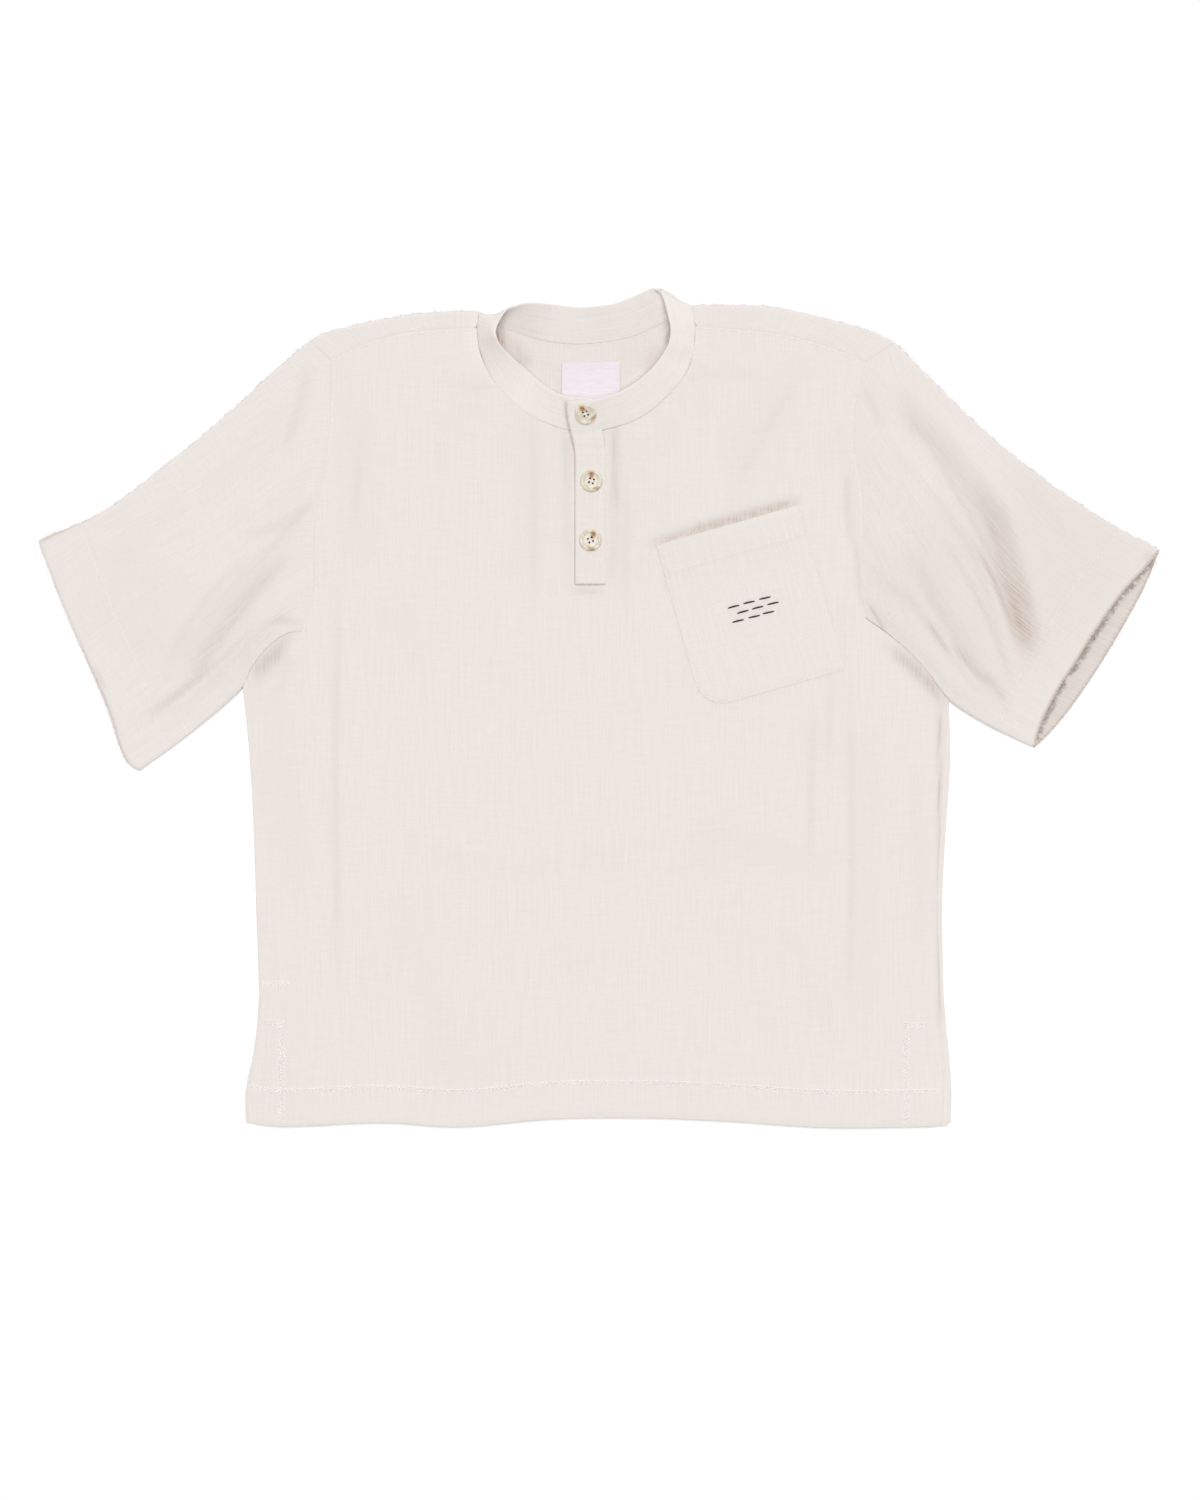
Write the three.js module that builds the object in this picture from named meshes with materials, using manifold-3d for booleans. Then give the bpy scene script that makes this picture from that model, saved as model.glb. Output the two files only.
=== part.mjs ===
// A short-sleeved henley shirt in crinkled cotton double gauze, laid flat on its back.
// Millimetres. +X is the viewer's right, +Y runs from the hem to the collar and +Z is up,
// away from the surface that the shirt lies on. The origin is the middle of its footprint.
//
// The pieces are those that a maker cuts and sews: a back whose shoulders turn forward over
// the top, a front with a placket slit, two sleeves, a stand collar, the two placket strips,
// a patch pocket, a neck label and three buttons. Each panel is an outer face worked out from
// short tables of sections, with a wall of cloth behind it.
import * as THREE from "three";
import { mergeVertices } from "three/addons/utils/BufferGeometryUtils.js";
import Module from "manifold-3d";

const wasm = await Module();
wasm.setup();

// Cloth and layers
const CLOTH = 1.2; // double gauze, both layers with the air between them
const HEM_CLOTH = 2.0; // where a hem is turned up
const SEAM_GAP = 0.35; // between the edges of two pieces that are sewn together
const LAY_GAP = 0.3; // between two layers that lie on each other
const TOP = 5.6; // outer face of the upper layer above the floor
const ROLL = TOP / 2; // radius of a folded edge
const HEM_DEPTH = 31;
const HEM_STEP = 0.4; // how far a turned-up hem stands proud

// Steps along the edges; pieces that are sewn together share them.
const SIDE_STEPS = 8; // side seam
const UNDERARM_STEPS = 4; // the sleeve's lower fold beside the body
const LAYER_STEPS = 10; // armhole, its first step along the forward shoulder
const SHOULDER_STEPS = 6;
const ROLL_STEPS = 4; // round a folded edge
const STRIP_STEPS = 2; // from the fold along the shoulder to the seam

// Collar, placket, pocket, label and buttons
const BAND_HEIGHT = 30;
const BAND_CLOTH = 1.8; // two layers and an interfacing
const BAND_SLOPE = 0.37; // how steeply the band rises where its ends lap at the front
const PLACKET = {
  left: -19,
  right: 6,
  bottom: 102,
  seam: 229, // height of the neck seam that it crosses
  top: 253,
  topLeft: -26.5,
  topRight: 0.5,
  cloth: 1.6,
};
const SLIT = { left: -13, right: -2, bottom: 108 };
const BUTTON = { radius: 9, thick: 3.2, dish: 0.9, hole: 0.9, holeSpread: 1.9, turn: 0.45 };
const BUTTON_PLACES = [
  { name: "button_top", x: -10.3, y: 244 },
  { name: "button_middle", x: -5.4, y: 188 },
  { name: "button_bottom", x: -6.2, y: 139 },
];
const LABEL = { left: -30, right: 18, bottom: 252, top: 285.5, tilt: 1.5, cloth: 1.0 };
const POCKET = {
  centreX: 126.9, // middle of the patch
  centreY: 81.6,
  width: 122.5,
  depth: 142,
  turn: 0.269, // radians, anticlockwise
  round: 24, // radius of its lower left corner
  hem: 26,
  gape: 1.6, // how far its mouth stands open
};

// Body sections from hem to underarm: where the left and right edges of the back lie,
// and how far inside them the front's edges are.
const SIDE = [
  { y: -344, left: -292, right: 292.5, leftInset: 1.5, rightInset: 6.5 },
  { y: -318, left: -292, right: 293, leftInset: 1.5, rightInset: 6.5 },
  { y: -288, left: -286, right: 291, leftInset: 1.5, rightInset: 5.5 },
  { y: -255, left: -282, right: 288, leftInset: 1, rightInset: 3 },
  { y: -160, left: -284, right: 286, leftInset: 0.5, rightInset: 4 },
  { y: -100, left: -286, right: 289, leftInset: 0.5, rightInset: 4.5 },
  { y: -44, left: -289, right: 292.5, leftInset: 0.5, rightInset: 4.5 },
];
// The lower edge of the front and back, which waves a little.
const HEM = [
  { x: -292, y: -344 },
  { x: -264, y: -347 },
  { x: -177, y: -344 },
  { x: -116, y: -347.5 },
  { x: -40, y: -341 },
  { x: 40, y: -340 },
  { x: 112, y: -343 },
  { x: 190, y: -348 },
  { x: 292.5, y: -347 },
];
// The forward shoulder: the fold along the top and the seam in front of it, from the
// armhole to the neck.
const SHOULDER_FOLD = {
  left: [
    { x: -240, y: 304 },
    { x: -222, y: 312 },
    { x: -177, y: 322.5 },
    { x: -140, y: 328 },
    { x: -100.3, y: 329.5 },
  ],
  right: [
    { x: 247, y: 303 },
    { x: 222, y: 314 },
    { x: 184, y: 324 },
    { x: 140, y: 333 },
    { x: 80.5, y: 334.5 },
  ],
};
const SHOULDER_SEAM = {
  left: [
    { x: -222, y: 289 },
    { x: -197, y: 301 },
    { x: -163, y: 311 },
    { x: -101.9, y: 317 },
  ],
  right: [
    { x: 222, y: 287 },
    { x: 198, y: 297.5 },
    { x: 158, y: 309 },
    { x: 82.1, y: 318 },
  ],
};
// Each sleeve lies as a flat tube between its armhole seam, its upper and lower folds and
// its cuff. "front" and "back" are the two layers of the cuff, and "underarm" is the share
// of the lower fold that lies along the body.
const SLEEVE = {
  left: {
    armhole: [
      { x: -222, y: 289 },
      { x: -224, y: 222 },
      { x: -235, y: 150 },
      { x: -237, y: 91 },
      { x: -245, y: 63 },
    ],
    upper: [
      { x: -240, y: 304 },
      { x: -264, y: 283.5 },
      { x: -314, y: 238 },
      { x: -363, y: 198 },
      { x: -413, y: 161.5 },
      { x: -464, y: 139 },
    ],
    lower: [
      { x: -245, y: 63 },
      { x: -259, y: 61 },
      { x: -276, y: 48 },
      { x: -288, y: 32 },
      { x: -295, y: 17 },
      { x: -339, y: -22 },
      { x: -380, y: -52 },
    ],
    front: [
      { x: -464, y: 139 },
      { x: -438, y: 72.5 },
      { x: -406, y: 2 },
      { x: -390, y: -44 },
      { x: -380, y: -52 },
    ],
    back: [
      { x: -464, y: 139 },
      { x: -438, y: 72.5 },
      { x: -408, y: 1 },
      { x: -391, y: -44 },
      { x: -380, y: -52 },
    ],
    underarm: 0.395,
  },
  right: {
    armhole: [
      { x: 222, y: 287 },
      { x: 212, y: 232 },
      { x: 220, y: 172 },
      { x: 220, y: 120 },
      { x: 222, y: 74 },
    ],
    upper: [
      { x: 247, y: 303 },
      { x: 275.5, y: 273.5 },
      { x: 325, y: 226 },
      { x: 375, y: 186 },
      { x: 425, y: 153 },
      { x: 466, y: 131 },
    ],
    lower: [
      { x: 222, y: 74 },
      { x: 238, y: 63 },
      { x: 256, y: 48 },
      { x: 273, y: 30 },
      { x: 293, y: 5 },
      { x: 325, y: -15.5 },
      { x: 362, y: -33 },
    ],
    front: [
      { x: 466, y: 131 },
      { x: 430, y: 84.5 },
      { x: 388, y: 22 },
      { x: 367, y: -14 },
      { x: 362, y: -33 },
    ],
    back: [
      { x: 466, y: 131 },
      { x: 450, y: 94 },
      { x: 408, y: 23 },
      { x: 379, y: -16 },
      { x: 362, y: -33 },
    ],
    underarm: 0.545,
  },
};
// Stations round the stand collar, from its under end at the front, round the wearer's
// right, the back and the left, to its over end. "z" is the outer face at the seam; the
// rim's height follows from the band's real height.
const COLLAR = [
  { x: -3, y: 229.6, z: 4.6, rimX: -4, rimY: 257.5 },
  { x: -27, y: 231, z: 4.8, rimX: -31, rimY: 260 },
  { x: -47, y: 238, z: 5.4, rimX: -44, rimY: 267 },
  { x: -69, y: 252, z: TOP, rimX: -59, rimY: 279.5 },
  { x: -87, y: 272, z: TOP, rimX: -73, rimY: 291 },
  { x: -97, y: 292, z: TOP, rimX: -83, rimY: 301 },
  { x: -100.5, y: 315, z: TOP, rimX: -86, rimY: 310 },
  { x: -98.5, y: 328.5, z: ROLL, rimX: -83, rimY: 320 },
  { x: -90, y: 323, z: 0, rimX: -76, rimY: 330.5 },
  { x: -79, y: 316.5, z: 0, rimX: -65, rimY: 334.5 },
  { x: -60, y: 309.5, z: 0, rimX: -52, rimY: 335.5 },
  { x: -40, y: 304, z: 0, rimX: -37, rimY: 334 },
  { x: -15, y: 302, z: 0, rimX: -17, rimY: 332 },
  { x: 9, y: 304.5, z: 0, rimX: 1, rimY: 333 },
  { x: 30, y: 309, z: 0, rimX: 16, rimY: 335.5 },
  { x: 50, y: 318, z: 0, rimX: 33, rimY: 342.5 },
  { x: 66, y: 327, z: 0, rimX: 46, rimY: 348 },
  { x: 78.5, y: 333.5, z: ROLL, rimX: 52, rimY: 346 },
  { x: 80.5, y: 317, z: TOP, rimX: 59, rimY: 325 },
  { x: 80, y: 301, z: TOP, rimX: 60.5, rimY: 312.5 },
  { x: 75, y: 281, z: 5.8, rimX: 54, rimY: 297.5 },
  { x: 60, y: 261, z: 6.3, rimX: 40, rimY: 281 },
  { x: 34, y: 240, z: 6.9, rimX: 20, rimY: 265.5 },
  { x: 1, y: 229.5, z: 7.6, rimX: -1, rimY: 257.5 },
  { x: -22, y: 226, z: 7.9, rimX: -25, rimY: 254 },
];

// The largest soft folds: ridges are positive, troughs negative. Each runs from one point
// to another and fades out sideways over "spread".
const BODY_FOLDS = [
  { name: "beside the placket", x0: 17, y0: 236, x1: 11, y1: 125, spread: 6, height: -1.2 },
  { name: "ridge right of it", x0: 31, y0: 244, x1: 27, y1: 110, spread: 9, height: 0.9 },
  { name: "left of the placket", x0: -55, y0: 240, x1: -57, y1: 115, spread: 13, height: -0.9 },
  { name: "ridge left of that", x0: -80, y0: 262, x1: -83, y1: 120, spread: 15, height: 0.7 },
  { name: "chest to shoulder", x0: 172, y0: 286, x1: 108, y1: 178, spread: 18, height: -1.2 },
  { name: "along the right armhole", x0: 196, y0: 255, x1: 204, y1: 125, spread: 11, height: 0.9 },
  { name: "inside the left armhole", x0: -205, y0: 262, x1: -203, y1: 130, spread: 14, height: -0.9 },
  { name: "left flank", x0: -268, y0: -20, x1: -254, y1: -170, spread: 12, height: -0.9 },
  { name: "belly, left", x0: -185, y0: -88, x1: -60, y1: -130, spread: 14, height: 0.8 },
  { name: "belly, middle", x0: -70, y0: -130, x1: 45, y1: -100, spread: 14, height: 0.8 },
  { name: "belly, right", x0: 90, y0: -110, x1: 190, y1: -132, spread: 12, height: -0.9 },
  { name: "right flank", x0: 225, y0: -30, x1: 222, y1: -250, spread: 10, height: -0.8 },
  { name: "lower left", x0: -160, y0: -180, x1: -120, y1: -330, spread: 16, height: -0.8 },
];
const SLEEVE_FOLDS = {
  left: [
    { name: "deep trough", x0: -246, y0: 146, x1: -345, y1: 20, spread: 12, height: -2.0 },
    { name: "roll below it", x0: -250, y0: 92, x1: -355, y1: -8, spread: 15, height: 2.6 },
    { name: "roll above it", x0: -262, y0: 172, x1: -372, y1: 60, spread: 20, height: 1.8 },
    { name: "shoulder dimple", x0: -244, y0: 282, x1: -255, y1: 220, spread: 9, height: -1.3 },
    { name: "shoulder ridge", x0: -262, y0: 262, x1: -300, y1: 190, spread: 16, height: 1.3 },
  ],
  right: [
    { name: "deep trough, upper", x0: 252, y0: 262, x1: 335, y1: 140, spread: 12, height: -2.0 },
    { name: "deep trough, lower", x0: 325, y0: 150, x1: 358, y1: 28, spread: 11, height: -2.2 },
    { name: "roll outside it", x0: 290, y0: 252, x1: 392, y1: 92, spread: 22, height: 3.0 },
    { name: "roll inside it", x0: 238, y0: 214, x1: 322, y1: 66, spread: 20, height: 2.8 },
    { name: "second trough", x0: 262, y0: 118, x1: 334, y1: 4, spread: 8, height: -1.8 },
    { name: "underarm roll", x0: 236, y0: 84, x1: 316, y1: 4, spread: 10, height: 2.0 },
  ],
};

const clamp01 = (q) => Math.min(1, Math.max(0, q));
const lerp = (a, b, q) => a + (b - a) * q;
const smooth = (q) => clamp01(q) ** 2 * (3 - 2 * clamp01(q));
const mix = (a, b, q) => ({ x: lerp(a.x, b.x, q), y: lerp(a.y, b.y, q) });
const apart = (a, b) => Math.hypot(b.x - a.x, b.y - a.y);
const steps = (count, make) => Array.from({ length: count + 1 }, (_, k) => make(k));

// A smooth curve through a table's rows, read at shares of its length.
function curve(rows) {
  const line = new THREE.CatmullRomCurve3(
    rows.map((row) => new THREE.Vector3(row.x, row.y, row.z ?? 0)),
    false,
    "centripetal",
  );
  line.arcLengthDivisions = 400;
  return (q) => line.getPointAt(clamp01(q));
}

// A line of points moved sideways in plan, to the left of its direction of travel, by the
// distance that is given for each point.
function aside(points, distance) {
  return points.map((p, i) => {
    const before = points[Math.max(i - 1, 0)];
    const after = points[Math.min(i + 1, points.length - 1)];
    const share = distance(p) / apart(before, after);
    return { x: p.x - (after.y - before.y) * share, y: p.y + (after.x - before.x) * share };
  });
}

// The height that a set of folds adds at a plan point.
function relief(folds, x, y) {
  const END = 0.22; // share of a fold's length over which it dies away
  let sum = 0;
  for (const fold of folds) {
    const dx = fold.x1 - fold.x0;
    const dy = fold.y1 - fold.y0;
    const length = Math.hypot(dx, dy);
    const along = ((x - fold.x0) * dx + (y - fold.y0) * dy) / length ** 2;
    const off = ((x - fold.x0) * dy - (y - fold.y0) * dx) / length;
    const ends = smooth((along + END) / (2 * END)) * smooth((1 + END - along) / (2 * END));
    sum += fold.height * Math.exp(-((off / fold.spread) ** 2)) * ends;
  }
  return sum;
}

// Cloth: quads laid out in one or more grids that share their border points. Each point has
// a place on the outer face and a wall thickness; solid() closes the wall behind the face.
class Cloth {
  constructor() {
    this.points = [];
    this.walls = [];
    this.quads = [];
    this.known = new Map();
  }

  point({ x, y, z, wall }) {
    const key = [x, y, z].map((q) => Math.round(q * 1e4)).join(",");
    if (!this.known.has(key)) {
      this.known.set(key, this.points.length);
      this.points.push(new THREE.Vector3(x, y, z));
      this.walls.push(wall);
    }
    return this.known.get(key);
  }

  // Adds columns x rows quads; at(i, j) gives each corner. Faces point out where columns run
  // to the right and rows run up, seen from outside.
  grid(columns, rows, at, keep = () => true) {
    const index = steps(rows, (j) => steps(columns, (i) => this.point(at(i, j))));
    for (let j = 0; j < rows; j++)
      for (let i = 0; i < columns; i++)
        if (keep(i, j))
          this.quads.push([index[j][i], index[j][i + 1], index[j + 1][i + 1], index[j + 1][i]]);
  }

  normals() {
    const sums = this.points.map(() => new THREE.Vector3());
    for (const quad of this.quads) {
      const [a, b, c, d] = quad.map((k) => this.points[k]);
      const cross = c.clone().sub(a).cross(d.clone().sub(b));
      for (const k of quad) sums[k].add(cross);
    }
    return sums.map((sum) => sum.normalize());
  }

  solid() {
    const count = this.points.length;
    const normals = this.normals();
    const inner = this.points.map((p, k) => p.clone().addScaledVector(normals[k], -this.walls[k]));
    const triangles = [];
    const edges = new Set();
    for (const [a, b, c, d] of this.quads) {
      triangles.push(a, b, c, a, c, d);
      triangles.push(a + count, c + count, b + count, a + count, d + count, c + count);
      for (const [p, q] of [[a, b], [b, c], [c, d], [d, a]]) edges.add(p + "," + q);
    }
    for (const edge of edges) {
      const [p, q] = edge.split(",").map(Number);
      if (edges.has(q + "," + p)) continue;
      triangles.push(p, p + count, q + count, p, q + count, q);
    }
    const geometry = new THREE.BufferGeometry();
    const places = [...this.points, ...inner].flatMap((p) => [p.x, p.y, p.z]);
    geometry.setAttribute("position", new THREE.Float32BufferAttribute(places, 3));
    geometry.setIndex(triangles);
    geometry.computeVertexNormals();
    return geometry;
  }
}

// A folded edge in section, from the lower layer (step 0) to the upper: how far in from the
// fold and how high, with up as 0 to 1.
function rollAt(step, radius = ROLL) {
  const angle = (Math.PI * step) / ROLL_STEPS - Math.PI / 2;
  const up = (1 + Math.sin(angle)) / 2;
  return { inset: radius * (1 - Math.cos(angle)), z: 2 * radius * up, up };
}

// How a sleeve lies in plan: s runs from the armhole to the cuff, t from the upper fold to
// the lower.
function sleeveLie(name) {
  const { armhole, upper, lower, front, back, underarm } = SLEEVE[name];
  const along = { sewn: curve(armhole), upper: curve(upper), lower: curve(lower) };
  const cuff = { front: curve(front), back: curve(back) };
  const shoulder = upper[0];
  // The lower fold is fuller by the underarm, where the cloth bunches.
  const low = (s) => ROLL + 1.6 * smooth(s / 0.15) * (1 - smooth((s - 0.25) / 0.5));
  // Shares of the flat layers' steps across a section, between the two folds.
  const layer = (s, k) => {
    const width = apart(along.upper(s), along.lower(s));
    return lerp(ROLL / width, 1 - low(s) / width, k / LAYER_STEPS);
  };
  const corner = layer(0, 1);
  const seam = (t) =>
    t < corner ? mix(shoulder, armhole[0], t / corner) : along.sewn((t - corner) / (1 - corner));
  const plan = (s, t, side) => {
    const start = seam(t);
    const end = cuff[side](t);
    const fold = mix(along.upper(s), along.lower(s), t);
    const corners = mix(mix(shoulder, lower[0], t), mix(upper.at(-1), lower.at(-1), t), s);
    return {
      x: lerp(start.x, end.x, s) + fold.x - corners.x,
      y: lerp(start.y, end.y, s) + fold.y - corners.y,
    };
  };
  const underarmShares = steps(UNDERARM_STEPS, (k) => (underarm * k) / UNDERARM_STEPS);
  return { plan, seam, layer, low, along, underarmShares };
}
const LIE = { left: sleeveLie("left"), right: sleeveLie("right") };
const SIDE_OF = { left: -1, right: 1 };

const collarBase = curve(COLLAR);
const collarRim = curve(COLLAR.map((row) => ({ x: row.rimX, y: row.rimY })));

// The share of a curve's length at which it passes a table's row, for every row.
function sharesOf(along, rows) {
  const FINE = 4000;
  const samples = steps(FINE, (k) => along(k / FINE));
  let from = 0;
  return rows.map((row) => {
    let best = from;
    for (let k = from; k <= FINE; k++)
      if (apart(samples[k], row) < apart(samples[best], row)) best = k;
      else if (apart(samples[k], row) > apart(samples[best], row) + 12) break;
    from = best;
    return best / FINE;
  });
}
const BASE_SHARES = sharesOf(collarBase, COLLAR);
const RIM_SHARES = sharesOf(collarRim, COLLAR.map((row) => ({ x: row.rimX, y: row.rimY })));
const between = (list, station) => {
  const k = Math.min(Math.floor(station), list.length - 2);
  return lerp(list[k], list[k + 1], station - k);
};

// The collar's outer face: station counts the table's rows and h runs from seam to rim.
function collarFace(station, h) {
  const base = collarBase(between(BASE_SHARES, station));
  const rim = collarRim(between(RIM_SHARES, station));
  const rise = Math.sqrt(Math.max(BAND_HEIGHT ** 2 - apart(base, rim) ** 2, 4));
  return { ...mix(base, rim, h), z: Math.max(base.z, 0) + rise * h, rise };
}

// The body's neckline lies just outside the collar's seam. Behind the neck the band's inner
// face looks up, so its thickness reaches over the seam wherever it stands up.
const NECK = { underEnd: 1, seamLeft: 6, backLeft: 8, backRight: 16, seamRight: 18, overEnd: 23 };
const HALF = 0.5; // the neckline and the collar have a point at every half station
function neckline(from, to) {
  const count = Math.abs(to - from) / HALF;
  const seam = steps(count, (k) => collarFace(lerp(from, to, k / count), 0));
  const behind = from === NECK.backLeft;
  const clear = (p) => SEAM_GAP + (behind ? (BAND_CLOTH * p.rise) / BAND_HEIGHT : 0);
  return aside(seam, (p) => -clear(p));
}

// The edge of a body panel on one side, from the hem to the end of the shoulder seam. The
// side seam is the panel's own; above it the edge follows the sleeve, a seam's gap away.
function bodyEdge(name, inset) {
  const side = SIDE_OF[name];
  const { along, seam, layer, underarmShares } = LIE[name];
  const fold = [...underarmShares].reverse().map((s) => along.lower(s));
  const armhole = steps(LAYER_STEPS - 2, (k) => seam(layer(0, LAYER_STEPS - 1 - k)));
  const sewn = aside([...fold, ...armhole], () => side * SEAM_GAP);
  const own = SIDE.map((row) => ({ x: row[name] - side * inset(row), y: row.y }));
  const seamLine = curve([...own, sewn[0]]);
  return [...steps(SIDE_STEPS - 1, (k) => seamLine(k / SIDE_STEPS)), ...sewn];
}

// A body panel in plan, between its top line, its side edges and the hem. Rows run straight
// from edge to edge, and the shape of each edge dies away from it. "upright" gives the x of
// columns that stand upright.
const hemLine = curve(HEM);
function bodyPlan(top, left, right, upright = {}) {
  const columns = top.length - 1;
  const rows = left.length - 1;
  const EVEN = 0.55; // how evenly the columns are spaced along the hem
  const SIDEWAYS = 3; // how fast the side edges' shape dies away
  const UPWARDS = 4; // and that of the top line and the hem
  const wide = top[columns].x - top[0].x;
  const share = top.map((p, i) => lerp((p.x - top[0].x) / wide, i / columns, EVEN));
  const foot = share.map((u, i) => {
    const x = upright[i] ?? lerp(left[0].x, right[0].x, u);
    return { x, y: hemLine((x - HEM[0].x) / (HEM.at(-1).x - HEM[0].x)).y };
  });
  const height = left.map((p, j) => (p.y + right[j].y) / 2);
  const level = (line, i) => lerp(line[0].y, line[columns].y, share[i]);
  return (i, j) => {
    if (j === rows) return top[i];
    if (j === 0) return foot[i];
    if (i === 0) return left[j];
    if (i === columns) return right[j];
    const v = (height[j] - height[0]) / (height[rows] - height[0]);
    const leftBulge = left[j].x - lerp(foot[0].x, top[0].x, v);
    const rightBulge = right[j].x - lerp(foot[columns].x, top[columns].x, v);
    const rise = (top[i].y - level(top, i)) * v ** UPWARDS;
    const dip = (foot[i].y - level(foot, i)) * (1 - v) ** UPWARDS;
    return {
      x:
        lerp(foot[i].x, top[i].x, v) +
        leftBulge * (1 - share[i]) ** SIDEWAYS +
        rightBulge * share[i] ** SIDEWAYS,
      y: lerp(left[j].y, right[j].y, share[i]) + rise + dip,
    };
  };
}

const isHem = (y) => y < HEM[0].y + HEM_DEPTH;

// The outer face of the front away from its edges.
function upperFace(x, y) {
  return TOP + relief(BODY_FOLDS, x, y) + (isHem(y) ? HEM_STEP : 0);
}

// Front: one panel from the hem to the shoulder seams and the neckline, with the placket's
// slit in it. Its side edges come down on to the back.
function front() {
  const left = bodyEdge("left", (row) => row.leftInset + SEAM_GAP);
  const right = bodyEdge("right", (row) => row.rightInset);
  const seam = Object.fromEntries(
    ["left", "right"].map((name) => {
      const along = curve(SHOULDER_SEAM[name]);
      const points = steps(SHOULDER_STEPS, (k) => along(k / SHOULDER_STEPS));
      return [name, points.map((p) => ({ x: p.x, y: p.y - SEAM_GAP }))];
    }),
  );
  const down = neckline(NECK.seamLeft, NECK.underEnd);
  const up = neckline(NECK.overEnd, NECK.seamRight);
  const slit = ["left", "right"].map((name) => ({ x: SLIT[name], y: PLACKET.seam - 2 * SEAM_GAP }));
  left.push({ x: left.at(-1).x, y: seam.left[0].y });
  right.push({ x: right.at(-1).x, y: seam.right[0].y });
  left.splice(-2, 1);
  right.splice(-2, 1);
  const top = [
    left.at(-1),
    ...seam.left.slice(1, -1),
    ...down,
    ...slit,
    ...up,
    ...seam.right.slice(1, -1).reverse(),
    right.at(-1),
  ];
  const slitColumn = top.indexOf(slit[0]);
  const upright = { [slitColumn]: SLIT.left, [slitColumn + 1]: SLIT.right };
  const place = bodyPlan(top, left, right, upright);
  const EDGE = 22; // over which the panel comes down to its side seams
  const armholeFrom = SIDE_STEPS + UNDERARM_STEPS;
  const cloth = new Cloth();
  const at = (i, j) => {
    const p = place(i, j);
    const wall = isHem(p.y) ? HEM_CLOTH : CLOTH;
    const face = upperFace(p.x, p.y);
    const inside = Math.min(p.x - left[j].x, right[j].x - p.x);
    const sewn = smooth((j - armholeFrom) / 2);
    const down = (1 - smooth(inside / EDGE)) * (1 - sewn);
    return { ...p, z: lerp(face, 2 * wall + LAY_GAP, down), wall };
  };
  const isSlit = (i, j) => i === slitColumn && place(i, j).y > SLIT.bottom;
  cloth.grid(top.length - 1, left.length - 1, at, (i, j) => !isSlit(i, j));
  return cloth.solid();
}

// Back: a flat panel on the floor, whose shoulders roll forward over the top to a seam.
function back() {
  const flap = Object.fromEntries(
    ["left", "right"].map((name) => {
      const fold = curve(SHOULDER_FOLD[name]);
      const seam = curve(SHOULDER_SEAM[name]);
      const ends = steps(SHOULDER_STEPS, (k) => ({
        fold: fold(k / SHOULDER_STEPS),
        sewn: seam(k / SHOULDER_STEPS),
      }));
      const clear = () => -SIDE_OF[name] * 2 * SEAM_GAP;
      const [first, sewn] = aside([ends[0].fold, ends[0].sewn], clear);
      ends[0] = { fold: first, sewn };
      return [name, ends];
    }),
  );
  const strip = ({ fold, sewn }, step) => {
    const length = apart(fold, sewn);
    const { inset, z } = rollAt(Math.min(step, ROLL_STEPS));
    const onward = Math.max(0, step - ROLL_STEPS) / STRIP_STEPS;
    const reach = lerp(inset, length - SEAM_GAP / 2, onward);
    return { ...mix(fold, sewn, reach / length), z, wall: CLOTH };
  };
  const neck = neckline(NECK.backLeft, NECK.backRight);
  const top = [
    ...flap.left.map((ends) => strip(ends, 0)),
    ...neck,
    ...[...flap.right].reverse().map((ends) => strip(ends, 0)),
  ];
  const left = [...bodyEdge("left", () => 0), top[0]];
  const right = [...bodyEdge("right", () => 0), top.at(-1)];
  const place = bodyPlan(top, left, right);
  const columns = top.length - 1;
  const cloth = new Cloth();
  // The outer face looks down, so its columns run from right to left seen from above.
  cloth.grid(columns, left.length - 1, (i, j) => {
    const p = place(columns - i, j);
    return { x: p.x, y: p.y, z: 0, wall: isHem(p.y) ? HEM_CLOTH : CLOTH };
  });
  for (const row of [[...flap.left].reverse(), flap.right])
    cloth.grid(SHOULDER_STEPS, ROLL_STEPS + STRIP_STEPS, (i, j) => strip(row[i], j));
  return cloth.solid();
}

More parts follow.
